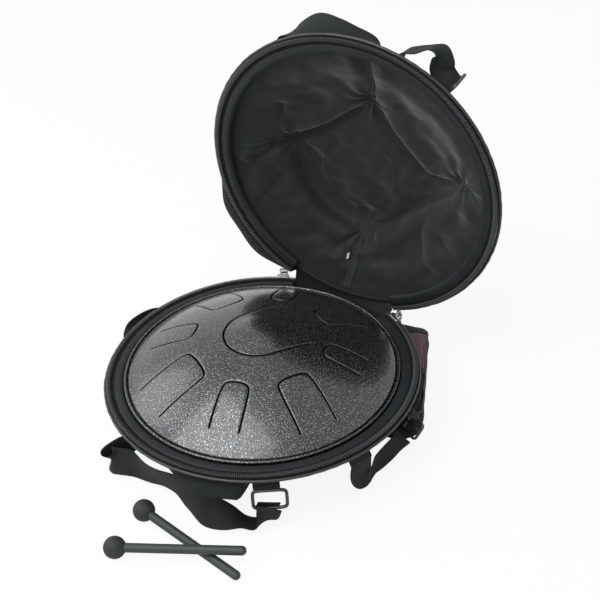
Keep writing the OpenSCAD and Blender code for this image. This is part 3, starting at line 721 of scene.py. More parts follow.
# Lid: outer cloth, padding and gathered lining
# A shallow cone like the base, with a loose lining gathered at four points round a crown panel.
# The folds are placed by their pixels in the photograph, cast along the camera's rays.
lid_foam_t = 2.5
lining_edge_r, lining_full_r = 166.0, 128.0
lid_hang_at, lid_hang_half, lid_hang_reach = 136.0, 34.0, 30.0
pucker_reach = (20, 19, 20, 19)
lid_rows, lid_columns = 150, 540
crop_scale, crop_left = 4.72, 179.0
fold_depth = 36.0
pucker_px = [(545, 665), (905, 478), (1335, 880), (868, 1090)]
crown_px, crown_circle_r = (850, 810), 52.0
valley_px = [
    ([(920, 490), (1000, 620), (1100, 740), (1190, 840), (1330, 885)], 7.0, 9.0),
    ([(540, 655), (640, 625), (780, 548), (900, 500)], 6.0, 7.0),
    ([(545, 700), (600, 850), (700, 985), (850, 1070)], 3.5, 9.0),
    ([(880, 1095), (1000, 1062), (1120, 990), (1250, 930), (1330, 900)], 5.0, 7.0),
    ([(470, 650), (420, 700), (360, 760)], 4.5, 6.0),
    ([(540, 770), (450, 860), (370, 970)], 3.5, 8.0),
    ([(500, 560), (485, 520), (480, 470)], 3.5, 5.0),
    ([(880, 1100), (930, 1130), (985, 1135)], 3.0, 5.0),
    ([(1250, 920), (1180, 1000), (1140, 1100), (1155, 1250)], 4.0, 8.0),
    ([(880, 1130), (915, 1190), (940, 1260)], 3.5, 6.0),
    ([(820, 240), (880, 290), (910, 380), (905, 490)], 6.0, 7.0),
    ([(203, 690), (350, 668), (510, 640)], 4.0, 6.0),
    ([(1350, 900), (1385, 950), (1430, 1010)], 4.0, 6.0),
    ([(840, 1185), (815, 1270), (790, 1360)], 4.0, 7.0)]
ridge_px = [
    ([(950, 380), (1000, 500), (1100, 620), (1165, 700), (1200, 790), (1260, 850)], 6.0, 13.0),
    ([(560, 590), (650, 560), (780, 480), (890, 430)], 5.0, 12.0),
    ([(600, 760), (660, 900), (760, 995), (850, 1040)], -2.0, 12.0),
    ([(900, 1120), (1010, 1090), (1130, 1020), (1260, 960)], 4.5, 11.0),
    ([(430, 610), (340, 700), (300, 760)], 4.0, 11.0),
    ([(470, 790), (400, 880), (330, 960)], 3.5, 12.0),
    ([(1230, 1000), (1200, 1100), (1215, 1240)], 3.5, 13.0),
    ([(780, 200), (840, 330), (850, 440)], 4.5, 10.0),
    ([(960, 250), (970, 340), (960, 420)], 3.5, 9.0)]


def lid_matrix():
    """The turn of the open lid, and a point of its hinge line."""
    origin = turned_about_hinge(np.zeros((1, 3)))
    return (turned_about_hinge(np.eye(3)) - origin).T, np.array([0, hinge_y, hinge_z])


def seen_on_lid(pixels, depth):
    """Where the camera's rays through crop pixels meet the lid at a depth, in the closed lid's
    own plane: the ray is turned back with the lid, then followed to that height."""
    px = np.atleast_2d(pixels) / crop_scale + [crop_left, 0]
    middle = image_px / 2
    rays = axes @ np.stack([(px[:, 0] - middle) / lens_px, (middle - px[:, 1]) / lens_px,
                            -np.ones(len(px))])
    turn, hinge = lid_matrix()
    start = (place / MM - hinge) @ turn + hinge
    rays = rays.T @ turn
    run = (rim_z + lid_gap + depth - start[2]) / rays[:, 2]
    return start[:2] + run[:, None] * rays[:, :2]


def seen_on_lining(pixels):
    """Where crop pixels fall on the lining: the rays are followed to a plane, and the plane is
    moved to the lining's usual depth there, a few times over."""
    depth = fold_depth
    for _ in range(6):
        flat = seen_on_lid(pixels, depth)
        r = np.minimum(np.hypot(*flat.T), 162)
        depth = cone_depth(r) - 7 * ease(r, lining_edge_r, lining_full_r)
    return flat * (r / np.hypot(*flat.T))[:, None]


def nearest_on(line, x, y):
    """Distance of each point of a grid to a line, and how far along the line that is, 0 to 1."""
    best = np.full(x.shape, 1e9)
    along = np.zeros(x.shape)
    for k, (a, b) in enumerate(zip(line[:-1], line[1:])):
        span = b - a
        t = np.clip(((x - a[0]) * span[0] + (y - a[1]) * span[1]) / (span @ span), 0, 1)
        away = np.hypot(x - a[0] - t * span[0], y - a[1] - t * span[1])
        nearer = away < best
        best = np.where(nearer, away, best)
        along = np.where(nearer, (k + t) / (len(line) - 1), along)
    return best, along


def cone_depth(r):
    """Depth of the padding's inner face: the cone, then the crown."""
    t = cloth_t + lid_foam_t
    slope = (wall_r - lid_crown_r) / (lid_depth - bend_d)
    cone = bend_d + (wall_r - t * np.hypot(1, slope) - r) / slope
    soft = 2.0
    return -soft * np.logaddexp(-cone / soft, -(lid_depth - t - 1.5) / soft)


def drum_depth(r):
    """How deep the drum reaches into the closed lid: its dome's height over the lid's rim."""
    return dome_height(np.minimum(r, drum_r)) + drum_z - rim_z - lid_gap


def lining_depth(x, y):
    """Depth of the gathered lining. It starts from the padding's face, swells inwards between
    the gathers, lies flat over the crown, and takes its folds from the strokes. It keeps
    off the padding and off the drum in the closed lid."""
    r = np.hypot(x, y)
    puckers = seen_on_lining(pucker_px)
    crown = seen_on_lining([crown_px])[0]
    from_crown = np.hypot(x - crown[0], y - crown[1])
    sides = [rounded(seen_on_lining(valley_px[k][0]), 2) for k in (1, 0, 3, 2)]
    panel = np.concatenate([sides[0], sides[1], sides[2][::-1], sides[3][::-1]])
    away, _ = nearest_on(np.concatenate([panel, panel[:1]]), x, y)
    spots = np.stack([x.ravel(), y.ravel()], 1)
    away = np.where(inside(spots, panel).reshape(x.shape), -away, away)
    outside = ease(away, -2, 6)
    rim = ease(r, lining_edge_r, lining_full_r)
    bulge = np.exp(-((away - 11) / 11) ** 2)
    crease = np.exp(-(away / 5.0) ** 2)
    swell = (5 * (1 - outside) + (9 + 9 * bulge) * outside) * rim - 5.5 * crease
    for (px, py), reach in zip(puckers, pucker_reach):
        away = np.hypot(x - px, y - py)
        local = np.arctan2(y - py, x - px)
        gathers = 3.6 * np.cos(9 * local + 0.02 * px) * np.exp(-away / 21) * ease(away, 0, 12)
        swell = swell * (1 - 0.95 * np.exp(-(away / reach) ** 2)) + gathers
    for strokes, sign, sharp in ((valley_px, -1, 1.25), (ridge_px, 1, 2.0)):
        for pixels, height, width in strokes:
            line = rounded(seen_on_lining(pixels), 2)
            away, along = nearest_on(line, x, y)
            fade = 1.45 * ease(along, -0.02, 0.12) * ease(along, 1.02, 0.86)
            swell = swell + sign * height * fade * np.exp(-(away / width) ** sharp)
    faint = 0.7 * np.exp(-((from_crown - crown_circle_r + 6) / 2.2) ** 2)
    lot = np.random.default_rng(11)
    for _ in range(26):
        way, length, phase = lot.uniform(0, 6.3), lot.uniform(14, 60), lot.uniform(0, 6.3)
        wave = np.sin((x * np.cos(way) + y * np.sin(way)) * 2 * np.pi / length + phase)
        swell = swell + 0.011 * length * wave * rim
    room = np.maximum(cone_depth(r) - np.maximum(drum_depth(r) + 1.5, layer_top_d), 0.6)
    share = (0.8 + 1.5 * np.logaddexp(0, (swell + faint) / 1.5)) / room
    return cone_depth(r) - room * np.tanh(share)


def hump(x, half):
    """A raised cosine: 1 at 0, and 0 from half outwards."""
    return np.where(np.abs(x) < half, 0.5 + 0.5 * np.cos(np.pi * x / half), 0)


def lid_swell(a, d):
    """The lid's outer cloth: creases, and a swell at the side that hangs lowest."""
    hang = hump(apart(a, lid_hang_at), lid_hang_half) ** 0.7 * ease(d, 1, 12) * ease(d, 62, 16)
    reach = lid_hang_reach + 3 * np.sin(np.radians(15 * a))
    return 1.2 * wrinkles(a, d, 5) * ease(d, 8, 20) + reach * hang


r_grid = np.linspace(0.2, lining_edge_r + 0.5, lid_rows)[:, None]
a_grid = np.arange(lid_columns)[None, :] * 2 * np.pi / lid_columns
x_grid, y_grid = r_grid * np.cos(a_grid), r_grid * np.sin(a_grid)
inner_face = np.stack([x_grid, y_grid, lining_depth(x_grid, y_grid)], -1)
back_r = np.array([[166.3], [120], [74], [0.2]])
back_face = polar(back_r, a_grid, cone_depth(back_r) + lining_t)
lining = lid_side(np.concatenate([inner_face, back_face]))
fit(surface("lid_gathered_lining", rolled(lining)), lining_cloth, "lid", "lining_cloth",
    "lid_lining")
lay(lid_side, "lid", lid_crown_r, lid_depth,
    ("lid_outer_cloth", 0, cloth_t, wall_top_d, lid_swell, outer_cloth, "outer_cloth", "lid_cover"),
    ("lid_padding", cloth_t, cloth_t + lid_foam_t, layer_top_d, still, foam_sheet, "foam",
     "lid_foam"))


def tape_on_lining(name, pixels, width, lift, stuff, *nodes):
    """A bound seam: a tape that follows the lining's folds, lifted off it a little, thicker
    along its two edges."""
    line = resampled(rounded(seen_on_lining(pixels), 3), 1.0)
    across = np.array([-1, -0.86, -0.6, 0, 0.6, 0.86, 1, 0.86, 0, -0.86]) * width / 2
    raised = np.array([0, 1.3, 0.9, 0.8, 0.9, 1.3, 0, -0.6, -0.6, -0.6]) * lift
    flat = line[:, None, :] + across[None, :, None] * leftwards(heading(line))[:, None, :]
    depth = lining_depth(flat[..., 0], flat[..., 1])
    depth = 0.5 * depth + 0.5 * depth.min(axis=1, keepdims=True) - raised
    points = np.concatenate([flat, depth[..., None]], -1)
    fit(surface(name, tube(lid_side(points))), stuff, "lid", "lining_cloth", *nodes)


binding = woven_cloth("woven_seam_binding", "#1b1f1f", "#303636", 1.0, 0.15, 0.7, 0.05)
tape_on_lining("left_dart_tape", [(240, 684), (350, 668), (505, 642)], 10.0, 0.8, binding,
               "lid_dart_left")
tape_on_lining("top_dart_tape", [(815, 235), (880, 290), (910, 380), (905, 470)], 8.0, 0.8,
               binding, "lid_dart_top")
tape_on_lining("right_dart_tape", [(1345, 893), (1385, 950), (1430, 1010)], 9.0, 0.8, binding,
               "lid_dart_right")
tape_on_lining("lower_dart_tape", [(843, 1180), (818, 1270), (792, 1350)], 10.0, 0.9, binding)
thread = smooth_plastic("white_sewing_thread", "#c9cac6", 0.6, 0.1, 900.0, 1.5)
tape_on_lining("white_bar_tack", [(800, 1196), (793, 1222)], 2.6, 2.0, thread)


# Webbing: straps, handles and tabs
# Ribbed polypropylene. A row of a band is a point in shares of the zip's radius and the rim's
# height, the direction in which the width lies, and a share of the full width of 38 mm.
strap_w, strap_t, strap_sag = 38.0, 1.6, 0.8
left_strap_rows = [
    [-0.380, -0.816, 0.595, -0.34, -0.74, 0.58, 0.7],
    [-0.437, -0.880, 0.50, -0.25, -0.45, 0.85, 0.85],
    [-0.486, -0.972, 0.350, -0.1, 0, 1, 1], [-0.440, -0.965, 0.335, 0, 0.1, 1, 1],
    [-0.345, -0.930, 0.330, 0, 0.08, 1, 1], [-0.221, -0.941, 0.338, 0, -0.16, 0.95, 1],
    [-0.116, -0.939, 0.351, 0, -0.27, 0.89, 1], [-0.007, -0.931, 0.338, 0, -0.15, 0.95, 1],
    [0.107, -0.943, 0.305, 0, 0.16, 0.99, 1], [0.215, -0.970, 0.285, 0, 0.3, 0.95, 1],
    [0.310, -0.970, 0.250, 0, 0.6, 0.8, 0.92], [0.400, -0.930, 0.170, -0.2, 0.85, 0.4, 0.76],
    [0.490, -0.893, 0.120, -0.4, 0.9, -0.2, 0.64], [0.568, -0.864, 0.125, -0.1, 0.95, -0.1, 0.62],
    [0.622, -0.838, 0.23, 0.5, 0.8, 0.1, 0.66], [0.630, -0.808, 0.40, 0.8, 0.6, 0, 0.7]]
front_tab_rows = [
    [0.582, -0.763, 0.785, 0.8, 0.6, 0, 0.75], [0.596, -0.778, 0.735, 0.8, 0.6, 0, 0.75],
    [0.603, -0.787, 0.70, 0.8, 0.6, 0, 0.75]]
strap_return_rows = [
    [0.610, -0.782, 0.43, 0.8, 0.6, 0, 0.65], [0.585, -0.772, 0.32, 0.8, 0.6, 0, 0.65],
    [0.560, -0.770, 0.25, 0.8, 0.6, 0, 0.65]]
right_tab_rows = [
    [0.919, -0.281, 0.79, 0.29, 0.96, 0, 0.75], [0.945, -0.287, 0.70, 0.29, 0.96, 0, 0.75],
    [0.943, -0.283, 0.62, 0.29, 0.96, 0, 0.75]]
right_strap_rows = [
    [0.940, -0.281, 0.60, 0.29, 0.96, 0, 0.75], [0.925, -0.262, 0.38, 0.29, 0.96, 0, 0.75],
    [0.925, -0.247, 0.257, 0.28, 0.88, 0.38, 0.7], [0.934, -0.221, 0.189, 0.2, 0.6, 0.78, 0.66],
    [0.937, -0.178, 0.189, 0.1, 0.35, 0.93, 0.66], [0.932, -0.098, 0.243, 0.05, 0.35, 0.93, 0.72],
    [0.950, -0.004, 0.297, 0, 0.3, 0.93, 0.74], [0.973, 0.081, 0.378, -0.1, 0.1, 1, 0.68],
    [0.988, 0.128, 0.45, -0.45, 0.2, 0.85, 0.6]]
buckle_tab_rows = [
    [0.988, 0.184, 0.845, -0.19, 0.98, 0, 0.45], [1.022, 0.200, 0.793, -0.45, 0.85, 0, 0.42],
    [1.050, 0.226, 0.712, -0.85, 0.5, 0, 0.4]]
side_handle_rows = [
    [-0.882, 0.279, 0.675, -0.78, 0.24, 0.58, 0.4], [-1.005, 0.255, 0.69, 0, 0, 1, 0.4],
    [-1.085, 0.160, 0.75, 0, 0, 1, 0.4], [-1.118, -0.020, 0.76, 0, 0, 1, 0.4],
    [-1.060, -0.155, 0.74, 0, 0, 1, 0.4], [-0.970, -0.207, 0.69, 0, 0, 1, 0.4],
    [-0.894, -0.231, 0.675, -0.79, -0.2, 0.58, 0.4]]
lid_handle_rows = [
    [-0.580, -0.742, 0.297, 0.53, 0.67, 0.51, 0.6], [-0.560, -0.830, 0.30, 0.3, 0.4, 0.8, 0.6],
    [-0.490, -0.905, 0.29, 0, -0.2, 1, 0.62], [-0.350, -0.985, 0.29, -0.1, -0.7, 0.7, 0.66],
    [-0.220, -0.985, 0.29, 0, -0.78, 0.62, 0.66], [-0.100, -0.968, 0.29, 0.1, -0.7, 0.7, 0.62],
    [0.020, -0.965, 0.29, 0, -0.1, 1, 0.6], [0.100, -0.932, 0.297, -0.1, 0.85, 0.51, 0.6]]
lid_strap_rows = [
    [0.192, -0.922, 0.297, -0.15, 0.84, 0.51, 0.5], [0.235, -0.975, 0.30, 0, 0.2, 1, 0.5],
    [0.317, -1.010, 0.305, 0, 0, 1, 0.5], [0.395, -1.050, 0.315, 0.3, 0.1, 0.95, 0.48],
    [0.455, -1.035, 0.33, 0.7, 0, 0.7, 0.5], [0.468, -0.970, 0.35, 0.88, -0.04, 0.46, 0.66],
    [0.478, -0.905, 0.355, 0.88, -0.04, 0.46, 0.68], [0.556, -0.842, 0.368, 0.83, 0.2, 0.52, 0.56]]
lid_tab_rows = [
    [0.370, -0.765, 0.36, -0.42, 0.75, 0.51, 0.5], [0.453, -0.735, 0.36, -0.42, 0.75, 0.51, 0.5],
    [0.500, -0.762, 0.37, -0.2, 0.3, 0.9, 0.5], [0.529, -0.802, 0.37, 0, 0, 1, 0.5]]


def through(rows, steps):
    """Catmull-Rom spline through rows of numbers."""
    rows = np.asarray(rows, float)
    padded = np.concatenate([2 * rows[:1] - rows[1:2], rows, 2 * rows[-1:] - rows[-2:-1]])
    t = np.linspace(0, len(rows) - 1, steps)
    k = np.minimum(t.astype(int), len(rows) - 2)
    u = (t - k)[:, None]
    a, b, c, d = padded[k], padded[k + 1], padded[k + 2], padded[k + 3]
    return 0.5 * (2 * b + (c - a) * u + (2 * a - 5 * b + 4 * c - d) * u ** 2
                  + (3 * b - a - 3 * c + d) * u ** 3)


def band(rows, seed):
    """A webbing band along its rows: a flat profile with thick rolled edges, which waves a
    little over its length and cups a little across it."""
    steps = 34 * len(rows)
    spline = through(rows, steps)
    line = spline[:, :3] * [zip_r, zip_r, rim_z]
    ahead = heading(line)
    across = spline[:, 3:6]
    across = unit(across - (across * ahead).sum(1, keepdims=True) * ahead)
    out = np.cross(ahead, across)
    half = spline[:, 6:7] * strap_w / 2
    side = np.linspace(-1, 1, 25)[None, :]
    edge = strap_t / 2 * (0.82 + 0.28 * np.exp(-((np.abs(side) - 0.93) / 0.05) ** 2))
    edge = edge * np.sqrt(np.clip(1 - np.abs(side) ** 30, 0.02, 1))
    lot = np.random.default_rng(seed)
    run = np.linspace(0, 1, steps)[:, None]
    wave = sum(np.sin(run * n * 6.3 + lot.uniform(0, 6.3) + side * lot.uniform(-1, 1)) / n
               for n in (2, 3, 5, 8))
    lift = strap_sag * (0.5 * wave + 0.5 * side ** 2) * np.sin(np.pi * run)
    faces = [line[:, None] + (half * side)[..., None] * across[:, None]
             + (lift + way * edge)[..., None] * out[:, None] for way in (1, -1)]
    return folded(*faces)


def ribbed_webbing():
    """Polypropylene webbing: ribs 1.6 mm apart along the band, crossed by the fine steps of the
    weave, on the piece's own UV."""
    made, tree = blank_material("ribbed_polypropylene_webbing")
    weave = maths(tree, "MULTIPLY_ADD", stripes(tree, "Y", 195.0, 0.3), 0.65,
                  stripes(tree, "X", 310.0, 0.5))
    tone = maths(tree, "MULTIPLY_ADD", weave, 0.5, noise(tree, 60.0, 4.0))
    colour = ramp(tree, tone, [(0.35, "#0f1111"), (1.2, "#202525")])
    principled(tree, {"Base Color": colour, "Roughness": 0.62, "IOR": 1.49,
                      "Specular IOR Level": 0.25, "Normal": bump(tree, weave, 0.8, 0.3)})
    return made


webbing = ribbed_webbing()
for name, rows, node in (("front_shoulder_strap", left_strap_rows, "left_strap"),
                         ("front_ring_tab", front_tab_rows, "front_tab"),
                         ("front_strap_return", strap_return_rows, "strap_return"),
                         ("side_shoulder_strap", right_strap_rows, "right_strap"),
                         ("side_strap_tab", right_tab_rows, "right_strap_tab"),
                         ("buckle_strap_tab", buckle_tab_rows, "buckle_tab"),
                         ("side_grab_handle", side_handle_rows, "side_handle")):
    fit(surface(name, tube(band(rows, len(name)))), webbing, "bag", "webbing", node)
for name, rows, node in (("lid_grab_handle", lid_handle_rows, "lid_handle"),
                         ("lid_ring_strap", lid_strap_rows, "lid_strap"),
                         ("lid_ring_tab", lid_tab_rows, "lid_strap_tab")):
    fit(surface(name, tube(lid_side(band(rows, len(name))))), webbing, "lid", "webbing", node)


# Rings and buckle
# Moulded nylon: two oblong rings of round rod, and a ladder lock whose edges are rounded and
# catch the light.
ring_rod, ring_corner = 1.8, 3.5
front_ring_share, front_ring_long, front_ring_short = [0.619, -0.783, 0.514], 17.85, 11.0
lid_ring_share, lid_ring_long, lid_ring_short = [0.570, -0.848, 0.37], 13.1, 8.0
buckle_share, buckle_turn = [1.029, 0.184, 0.58], (50, 0, -26)
buckle_w, buckle_l, buckle_rod = 27.0, 22.0, 1.5


def turned(points, x, y, z):
    """Points turned about X, then Y, then Z, in degrees."""
    turn = np.eye(3)
    for angle, axis in ((x, "X"), (y, "Y"), (z, "Z")):
        turn = np.array(Matrix.Rotation(np.radians(angle), 3, axis)) @ turn
    return points @ turn.T


def placed(share, points):
    """Points moved to a place given in shares of the zip's radius and the rim's height."""
    return points + np.array(share) * [zip_r, zip_r, rim_z]


def loop(half_x, half_y, corner, thick, flat=1.0, count=140):
    """A closed rod round a rectangle with round corners: a superellipse whose power follows
    from the corner's size."""
    line = oval(half_x, half_y, 2 / max(corner / min(half_x, half_y), 0.2), count)
    out = -leftwards(unit(np.roll(line, -1, 0) - np.roll(line, 1, 0)))
    ring = oval(thick, thick * flat, 2.4, 16)
    flat_points = line[:, None] + ring[None, :, :1] * out[:, None]
    return np.concatenate([flat_points, 0 * flat_points[..., :1] + ring[None, :, 1:]], -1)


hard_plastic = smooth_plastic("moulded_nylon", "#2c3234", 0.18, 0.03, 700.0, 1.53)
front_loop = turned(loop(front_ring_long, front_ring_short, ring_corner, ring_rod), 80, 0, 37)
fit(surface("front_strap_ring", shut(placed(front_ring_share, front_loop))), hard_plastic, "bag",
    "hardware_plastic", "front_ring")
lid_loop = turned(loop(lid_ring_long, lid_ring_short, ring_corner, ring_rod), 0, 90, 34)
fit(surface("lid_strap_ring", shut(lid_side(placed(lid_ring_share, lid_loop)))), hard_plastic,
    "lid", "hardware_plastic", "lid_ring")
half_w, half_l = buckle_w / 2 - buckle_rod, buckle_l / 2 - buckle_rod
bar_ring = oval(buckle_rod, buckle_rod, 2.4, 16)
bar = np.stack(np.broadcast_arrays(np.linspace(-1, 1, 12)[:, None] * half_w, *bar_ring.T), -1)
edging, bar = [placed(buckle_share, turned(points, *buckle_turn))
               for points in (loop(half_w, half_l, 3.0, buckle_rod), bar)]
fit(surface("ladder_lock_buckle", shut(edging), tube(bar)), hard_plastic, "bag",
    "hardware_plastic", "right_buckle")


# Side pocket
# A flat-topped pocket of the outer cloth along the right side, with a maroon satin panel and
# piping. Each corner of its section is a share of its reach, an offset and a height.
pocket_from, pocket_to, panel_from, panel_to = 13.5, 64.0, 35.5, 55.0
pocket_back, pocket_front, pocket_root = (54.0, 204.0), (14.0, 189.0), 176.0
pocket_steps, panel_steps, piping_steps, pocket_rows = 110, 70, 160, 60
edge_share, panel_share = 0.59, 0.965
pocket_piping_r = 1.4
pocket_section = np.array([[1, -34, 8], [1, -20, 8.5], [1, -9, 13], [1, -2.5, 22], [1, 0, 34],
                           [1, -0.8, 44], [1, -2.6, 50.5], [1, -6.5, 54.5], [0.5, 89, 58.6],
                           [0, 175.8, 63.0], [0, 173.6, 63.6]])


def pocket_reach(a):
    """The pocket's outer radius: a straight edge between two corners, drawn in at its ends."""
    start, end = [r * on_circle(np.radians(t)) for t, r in (pocket_back, pocket_front)]
    span = end - start
    way = on_circle(np.radians(a)).T
    reach = (start[0] * span[1] - start[1] * span[0]) / (way[0] * span[1] - way[1] * span[0])
    tuck = ease(a, pocket_from - 1, pocket_from + 3.5) * ease(a, pocket_to + 1, pocket_to - 8)
    return pocket_root + (reach - pocket_root) * tuck ** 0.6


def pocket_face(a_from, a_to, steps, u_from=0.0, u_to=1.0, grow=0.0):
    """The pocket's skin between two azimuths, from under the base (0) to under the rim (1): a
    spline through its corners, a little puffed out."""
    a = np.linspace(a_from, a_to, steps)
    u = np.linspace(u_from, u_to, pocket_rows)
    lot = np.random.default_rng(4)
    waves = [(lot.uniform(2, 9), lot.uniform(3, 12), lot.uniform(0, 6.3)) for _ in range(6)]
    shares, offsets, heights = pocket_section.T
    at = np.linspace(0, 1, 200)
    rows = []
    for az, out in zip(np.radians(a), pocket_reach(a)):
        profile = through(np.stack([shares * out + offsets, heights], 1), len(at))
        r, z = [np.interp(u, at, column) for column in profile.T]
        puff = sum(np.sin(n * u * 3 + k * az * 4 + p) for n, k, p in waves) / 6
        rows.append([r + grow + 1.1 * puff * np.sin(np.pi * u), z + grow])
    rows = np.array(rows)
    return polar(rows[:, 0], np.radians(a)[:, None], rows[:, 1])


maroon_satin = woven_cloth("maroon_satin", "#3a1f26", "#613840", 0.8, 0.06, 0.45, 0.1, 0.8)
pocket_skin = pocket_face(pocket_from, pocket_to, pocket_steps)
behind = pocket_skin[:, [-1, 0]] * [0.955, 0.955, 1] - [0, 0, 0.4]
fit(surface("side_pocket_cloth", tube(np.concatenate([pocket_skin, behind], axis=1))),
    outer_cloth, "bag", "outer_cloth", "side_pocket")
panel = folded(*[pocket_face(panel_from, panel_to, panel_steps, edge_share, panel_share, grow)
                 for grow in (0.9, 0.2)])
fit(surface("maroon_pocket_panel", tube(panel)), maroon_satin, "bag", "panel_cloth",
    "pocket_panel")
edge_line = pocket_face(pocket_from + 0.6, pocket_to - 3, piping_steps, edge_share, edge_share,
                        0.6)[:, 0]
out_of_edge = np.cross(heading(edge_line), [0, 0, 1.0])
cord_ring = oval(pocket_piping_r, pocket_piping_r, 2, 12)[None]
cord = (edge_line[:, None] + cord_ring[..., :1] * out_of_edge[:, None]
        + cord_ring[..., 1:] * np.array([0, 0, 1.0]))
fit(surface("maroon_pocket_piping", tube(cord)), maroon_satin, "bag", "panel_cloth",
    "pocket_piping")


# Zip sliders and pulls
# Two nickel plated sliders straddle the base's coil beside the hinge. Each has a pull that
# hangs from a pin between two ears.
park, slider_len = 4.5, 15.0
pin_r, pin_z = 180.15, 71.8
ear_pitch, ear_t = 4.2, 1.4
pull_l, pull_w, pull_t, pull_pin_r = 11.0, 8.0, 1.4, 0.9
grip_rod = 0.75


def soft_box(half, middle, power=5.0, count=28):
    """A box with rounded edges: a superellipsoid with its poles on the third axis."""
    t = np.linspace(-np.pi / 2, np.pi / 2, count)[:, None]
    a = np.arange(2 * count)[None, :] * np.pi / count
    flat = bent(np.cos(t), power)
    shape = [flat * bent(np.cos(a), power), flat * bent(np.sin(a), power), bent(np.sin(t), power)]
    return np.stack(np.broadcast_arrays(*shape), -1) * half + middle


def rod(radius, start, end, count=20):
    """A straight rod with slightly rounded ends between two points."""
    start, end = np.array(start, float), np.array(end, float)
    way = (end - start) / np.linalg.norm(end - start)
    side = np.cross(way, [0.3, 0.5, 0.81])
    side /= np.linalg.norm(side)
    a = np.arange(count) * 2 * np.pi / count
    ring = np.cos(a)[:, None] * side + np.sin(a)[:, None] * np.cross(way, side)
    rows = [(start, 0.8), (start + 0.15 * radius * way, 1), (end - 0.15 * radius * way, 1),
            (end, 0.8)]
    return np.array([at + radius * size * ring for at, size in rows])


def nickel():
    """Nickel plate: bright metal with fine rubbing marks."""
    made, tree = blank_material("nickel_plate")
    rough = spread(tree, noise(tree, 1500.0, 3.0), 0.14, 0.34)
    principled(tree, {"Base Color": linear("#b4b5b4"), "Metallic": 1.0, "Roughness": rough})
    return made


plated = nickel()
half_turn = np.degrees(slider_len / 2 / zip_r)
channel = np.array([[170.7, -0.8], [171.1, -1.15], [176.9, -1.15], [177.3, -0.8], [177.3, 2.2],
                    [176.3, 2.2], [176.3, -0.05], [171.7, -0.05], [171.7, 1.7], [170.7, 1.7]])
stations = half_turn * np.array([-1, -0.94, -0.5, 0, 0.5, 0.94, 1])
drawn = 1 - 0.1 * np.array([1, 0, 0, 0, 0, 0, 1])[:, None]
blocks = [soft_box([0.8, 5.4, 3.9], [pin_r + 0.45, 0, rim_z + 3.6], 4.0)]
for s in (-1, 1):
    blocks.append(soft_box([2.5, ear_t / 2, 1.9],
                           [pin_r - 1.15, s * (ear_pitch + ear_t) / 2, pin_z + 0.05]))
    blocks.append(soft_box([2.2, 0.9, 0.9], [pin_r - 1.5, 4.2 * s, rim_z + 0.6], 4.0))
pin_half = ear_pitch / 2 + ear_t
pin = rod(pull_pin_r, [pin_r, -pin_half, pin_z], [pin_r, pin_half, pin_z])
drop = np.array([pin_r, 0, pin_z - pull_l + 4.4])
neck = soft_box([pull_t / 2, 1.75, 2.0], [pin_r, 0, pin_z - 1.4])
plate = soft_box([0.35, 3.4, 3.6], drop)
grip = loop(3.7, pull_w / 2 - grip_rod, 2.0, grip_rod, 0.9)[..., [2, 1, 0]] + drop
for side_name, az in (("left", hinge_at + hinge_half + park),
                      ("right", hinge_at - hinge_half - park)):
    r = zip_r + (channel[:, 0] - zip_r) * drawn
    body = polar(r, np.radians(az + stations)[:, None], rim_z - channel[:, 1])
    parts = [rolled(turned(block, 0, 0, az)) for block in blocks]
    fit(surface(f"zip_slider_{side_name}", tube(body), *parts), plated, f"slider_{side_name}",
        "zip_metal", f"slider_{side_name}")
    parts = [rolled(turned(part, 0, 0, az)) for part in (neck, plate)]
    parts += [tube(turned(pin, 0, 0, az)), shut(turned(grip, 0, 0, az))]
    fit(surface(f"zip_pull_{side_name}", *parts), plated, f"pull_{side_name}", "zip_metal",
        f"pull_{side_name}")


# Mallets
# Two mallets lie crossed in front: a rubber ball on a straight plastic handle with a rounded
# end. The first rests on the second where their middle lines cross.
head_r, handle_r, mallet_l = 12.0, 5.0, 139.0
mallet_one_share, mallet_one_turn = np.array([-0.026, -1.480]), 27.4
mallet_two_share, mallet_two_turn = np.array([-0.075, -1.155]), -6.3
mallet_dip = np.degrees(np.arcsin((head_r - handle_r) / (mallet_l - handle_r)))
mallet_seat, neck_gap = 0.3, 0.15
bore_in, bore_out, bore_lip = 0.4, 10.6, 11.0
mould_seam, handle_waist = 0.006, 0.35


def crossing():
    """How far along each mallet the two middle lines cross, seen from above."""
    one, two = [on_circle(np.radians(t)) for t in (mallet_one_turn, mallet_two_turn)]
    apart_by = (mallet_two_share - mallet_one_share) * zip_r
    over = one[0] * two[1] - one[1] * two[0]
    return [(apart_by[0] * way[1] - apart_by[1] * way[0]) / over for way in (two, one)]


def turned_about_x(x, r, steps=72):
    """A profile of places along X and radii, turned about X."""
    return polar(r[:, None], np.arange(steps) * 2 * np.pi / steps, x[:, None])[..., [2, 0, 1]]


one_l, two_l = crossing()
over_height = 2 * handle_r + 2 * mallet_seat - two_l * np.tan(np.radians(mallet_dip))
mallet_rise = np.degrees(np.arctan(over_height / one_l))
ball_rubber = smooth_plastic("grey_green_rubber", "#1c2121", 0.72, 0.2, 420.0, 1.52)
handle_plastic = smooth_plastic("grey_green_plastic", "#262d2d", 0.55, 0.1, 350.0, 1.5)
bore_r = handle_r + neck_gap
swing = np.linspace(np.pi, np.arcsin(bore_r / head_r) + 0.05, 60)
mould_line = 1 + mould_seam * np.exp(-((swing - np.pi / 2) / 0.05) ** 2)
ball_x = np.concatenate([head_r * np.cos(swing), [bore_lip, bore_out, bore_in, 0.0]])
ball_r = np.concatenate([head_r * np.sin(swing) * mould_line,
                         [bore_r + 0.15, bore_r, bore_r, 0.0]])
end = np.linspace(np.pi / 2, 0, 16)
taper = np.linspace(0, 1, 40)
stem_x = np.concatenate([[0.05], 0.05 + taper * (mallet_l - handle_r - 0.05),
                         mallet_l - handle_r + handle_r * np.cos(end[1:])])
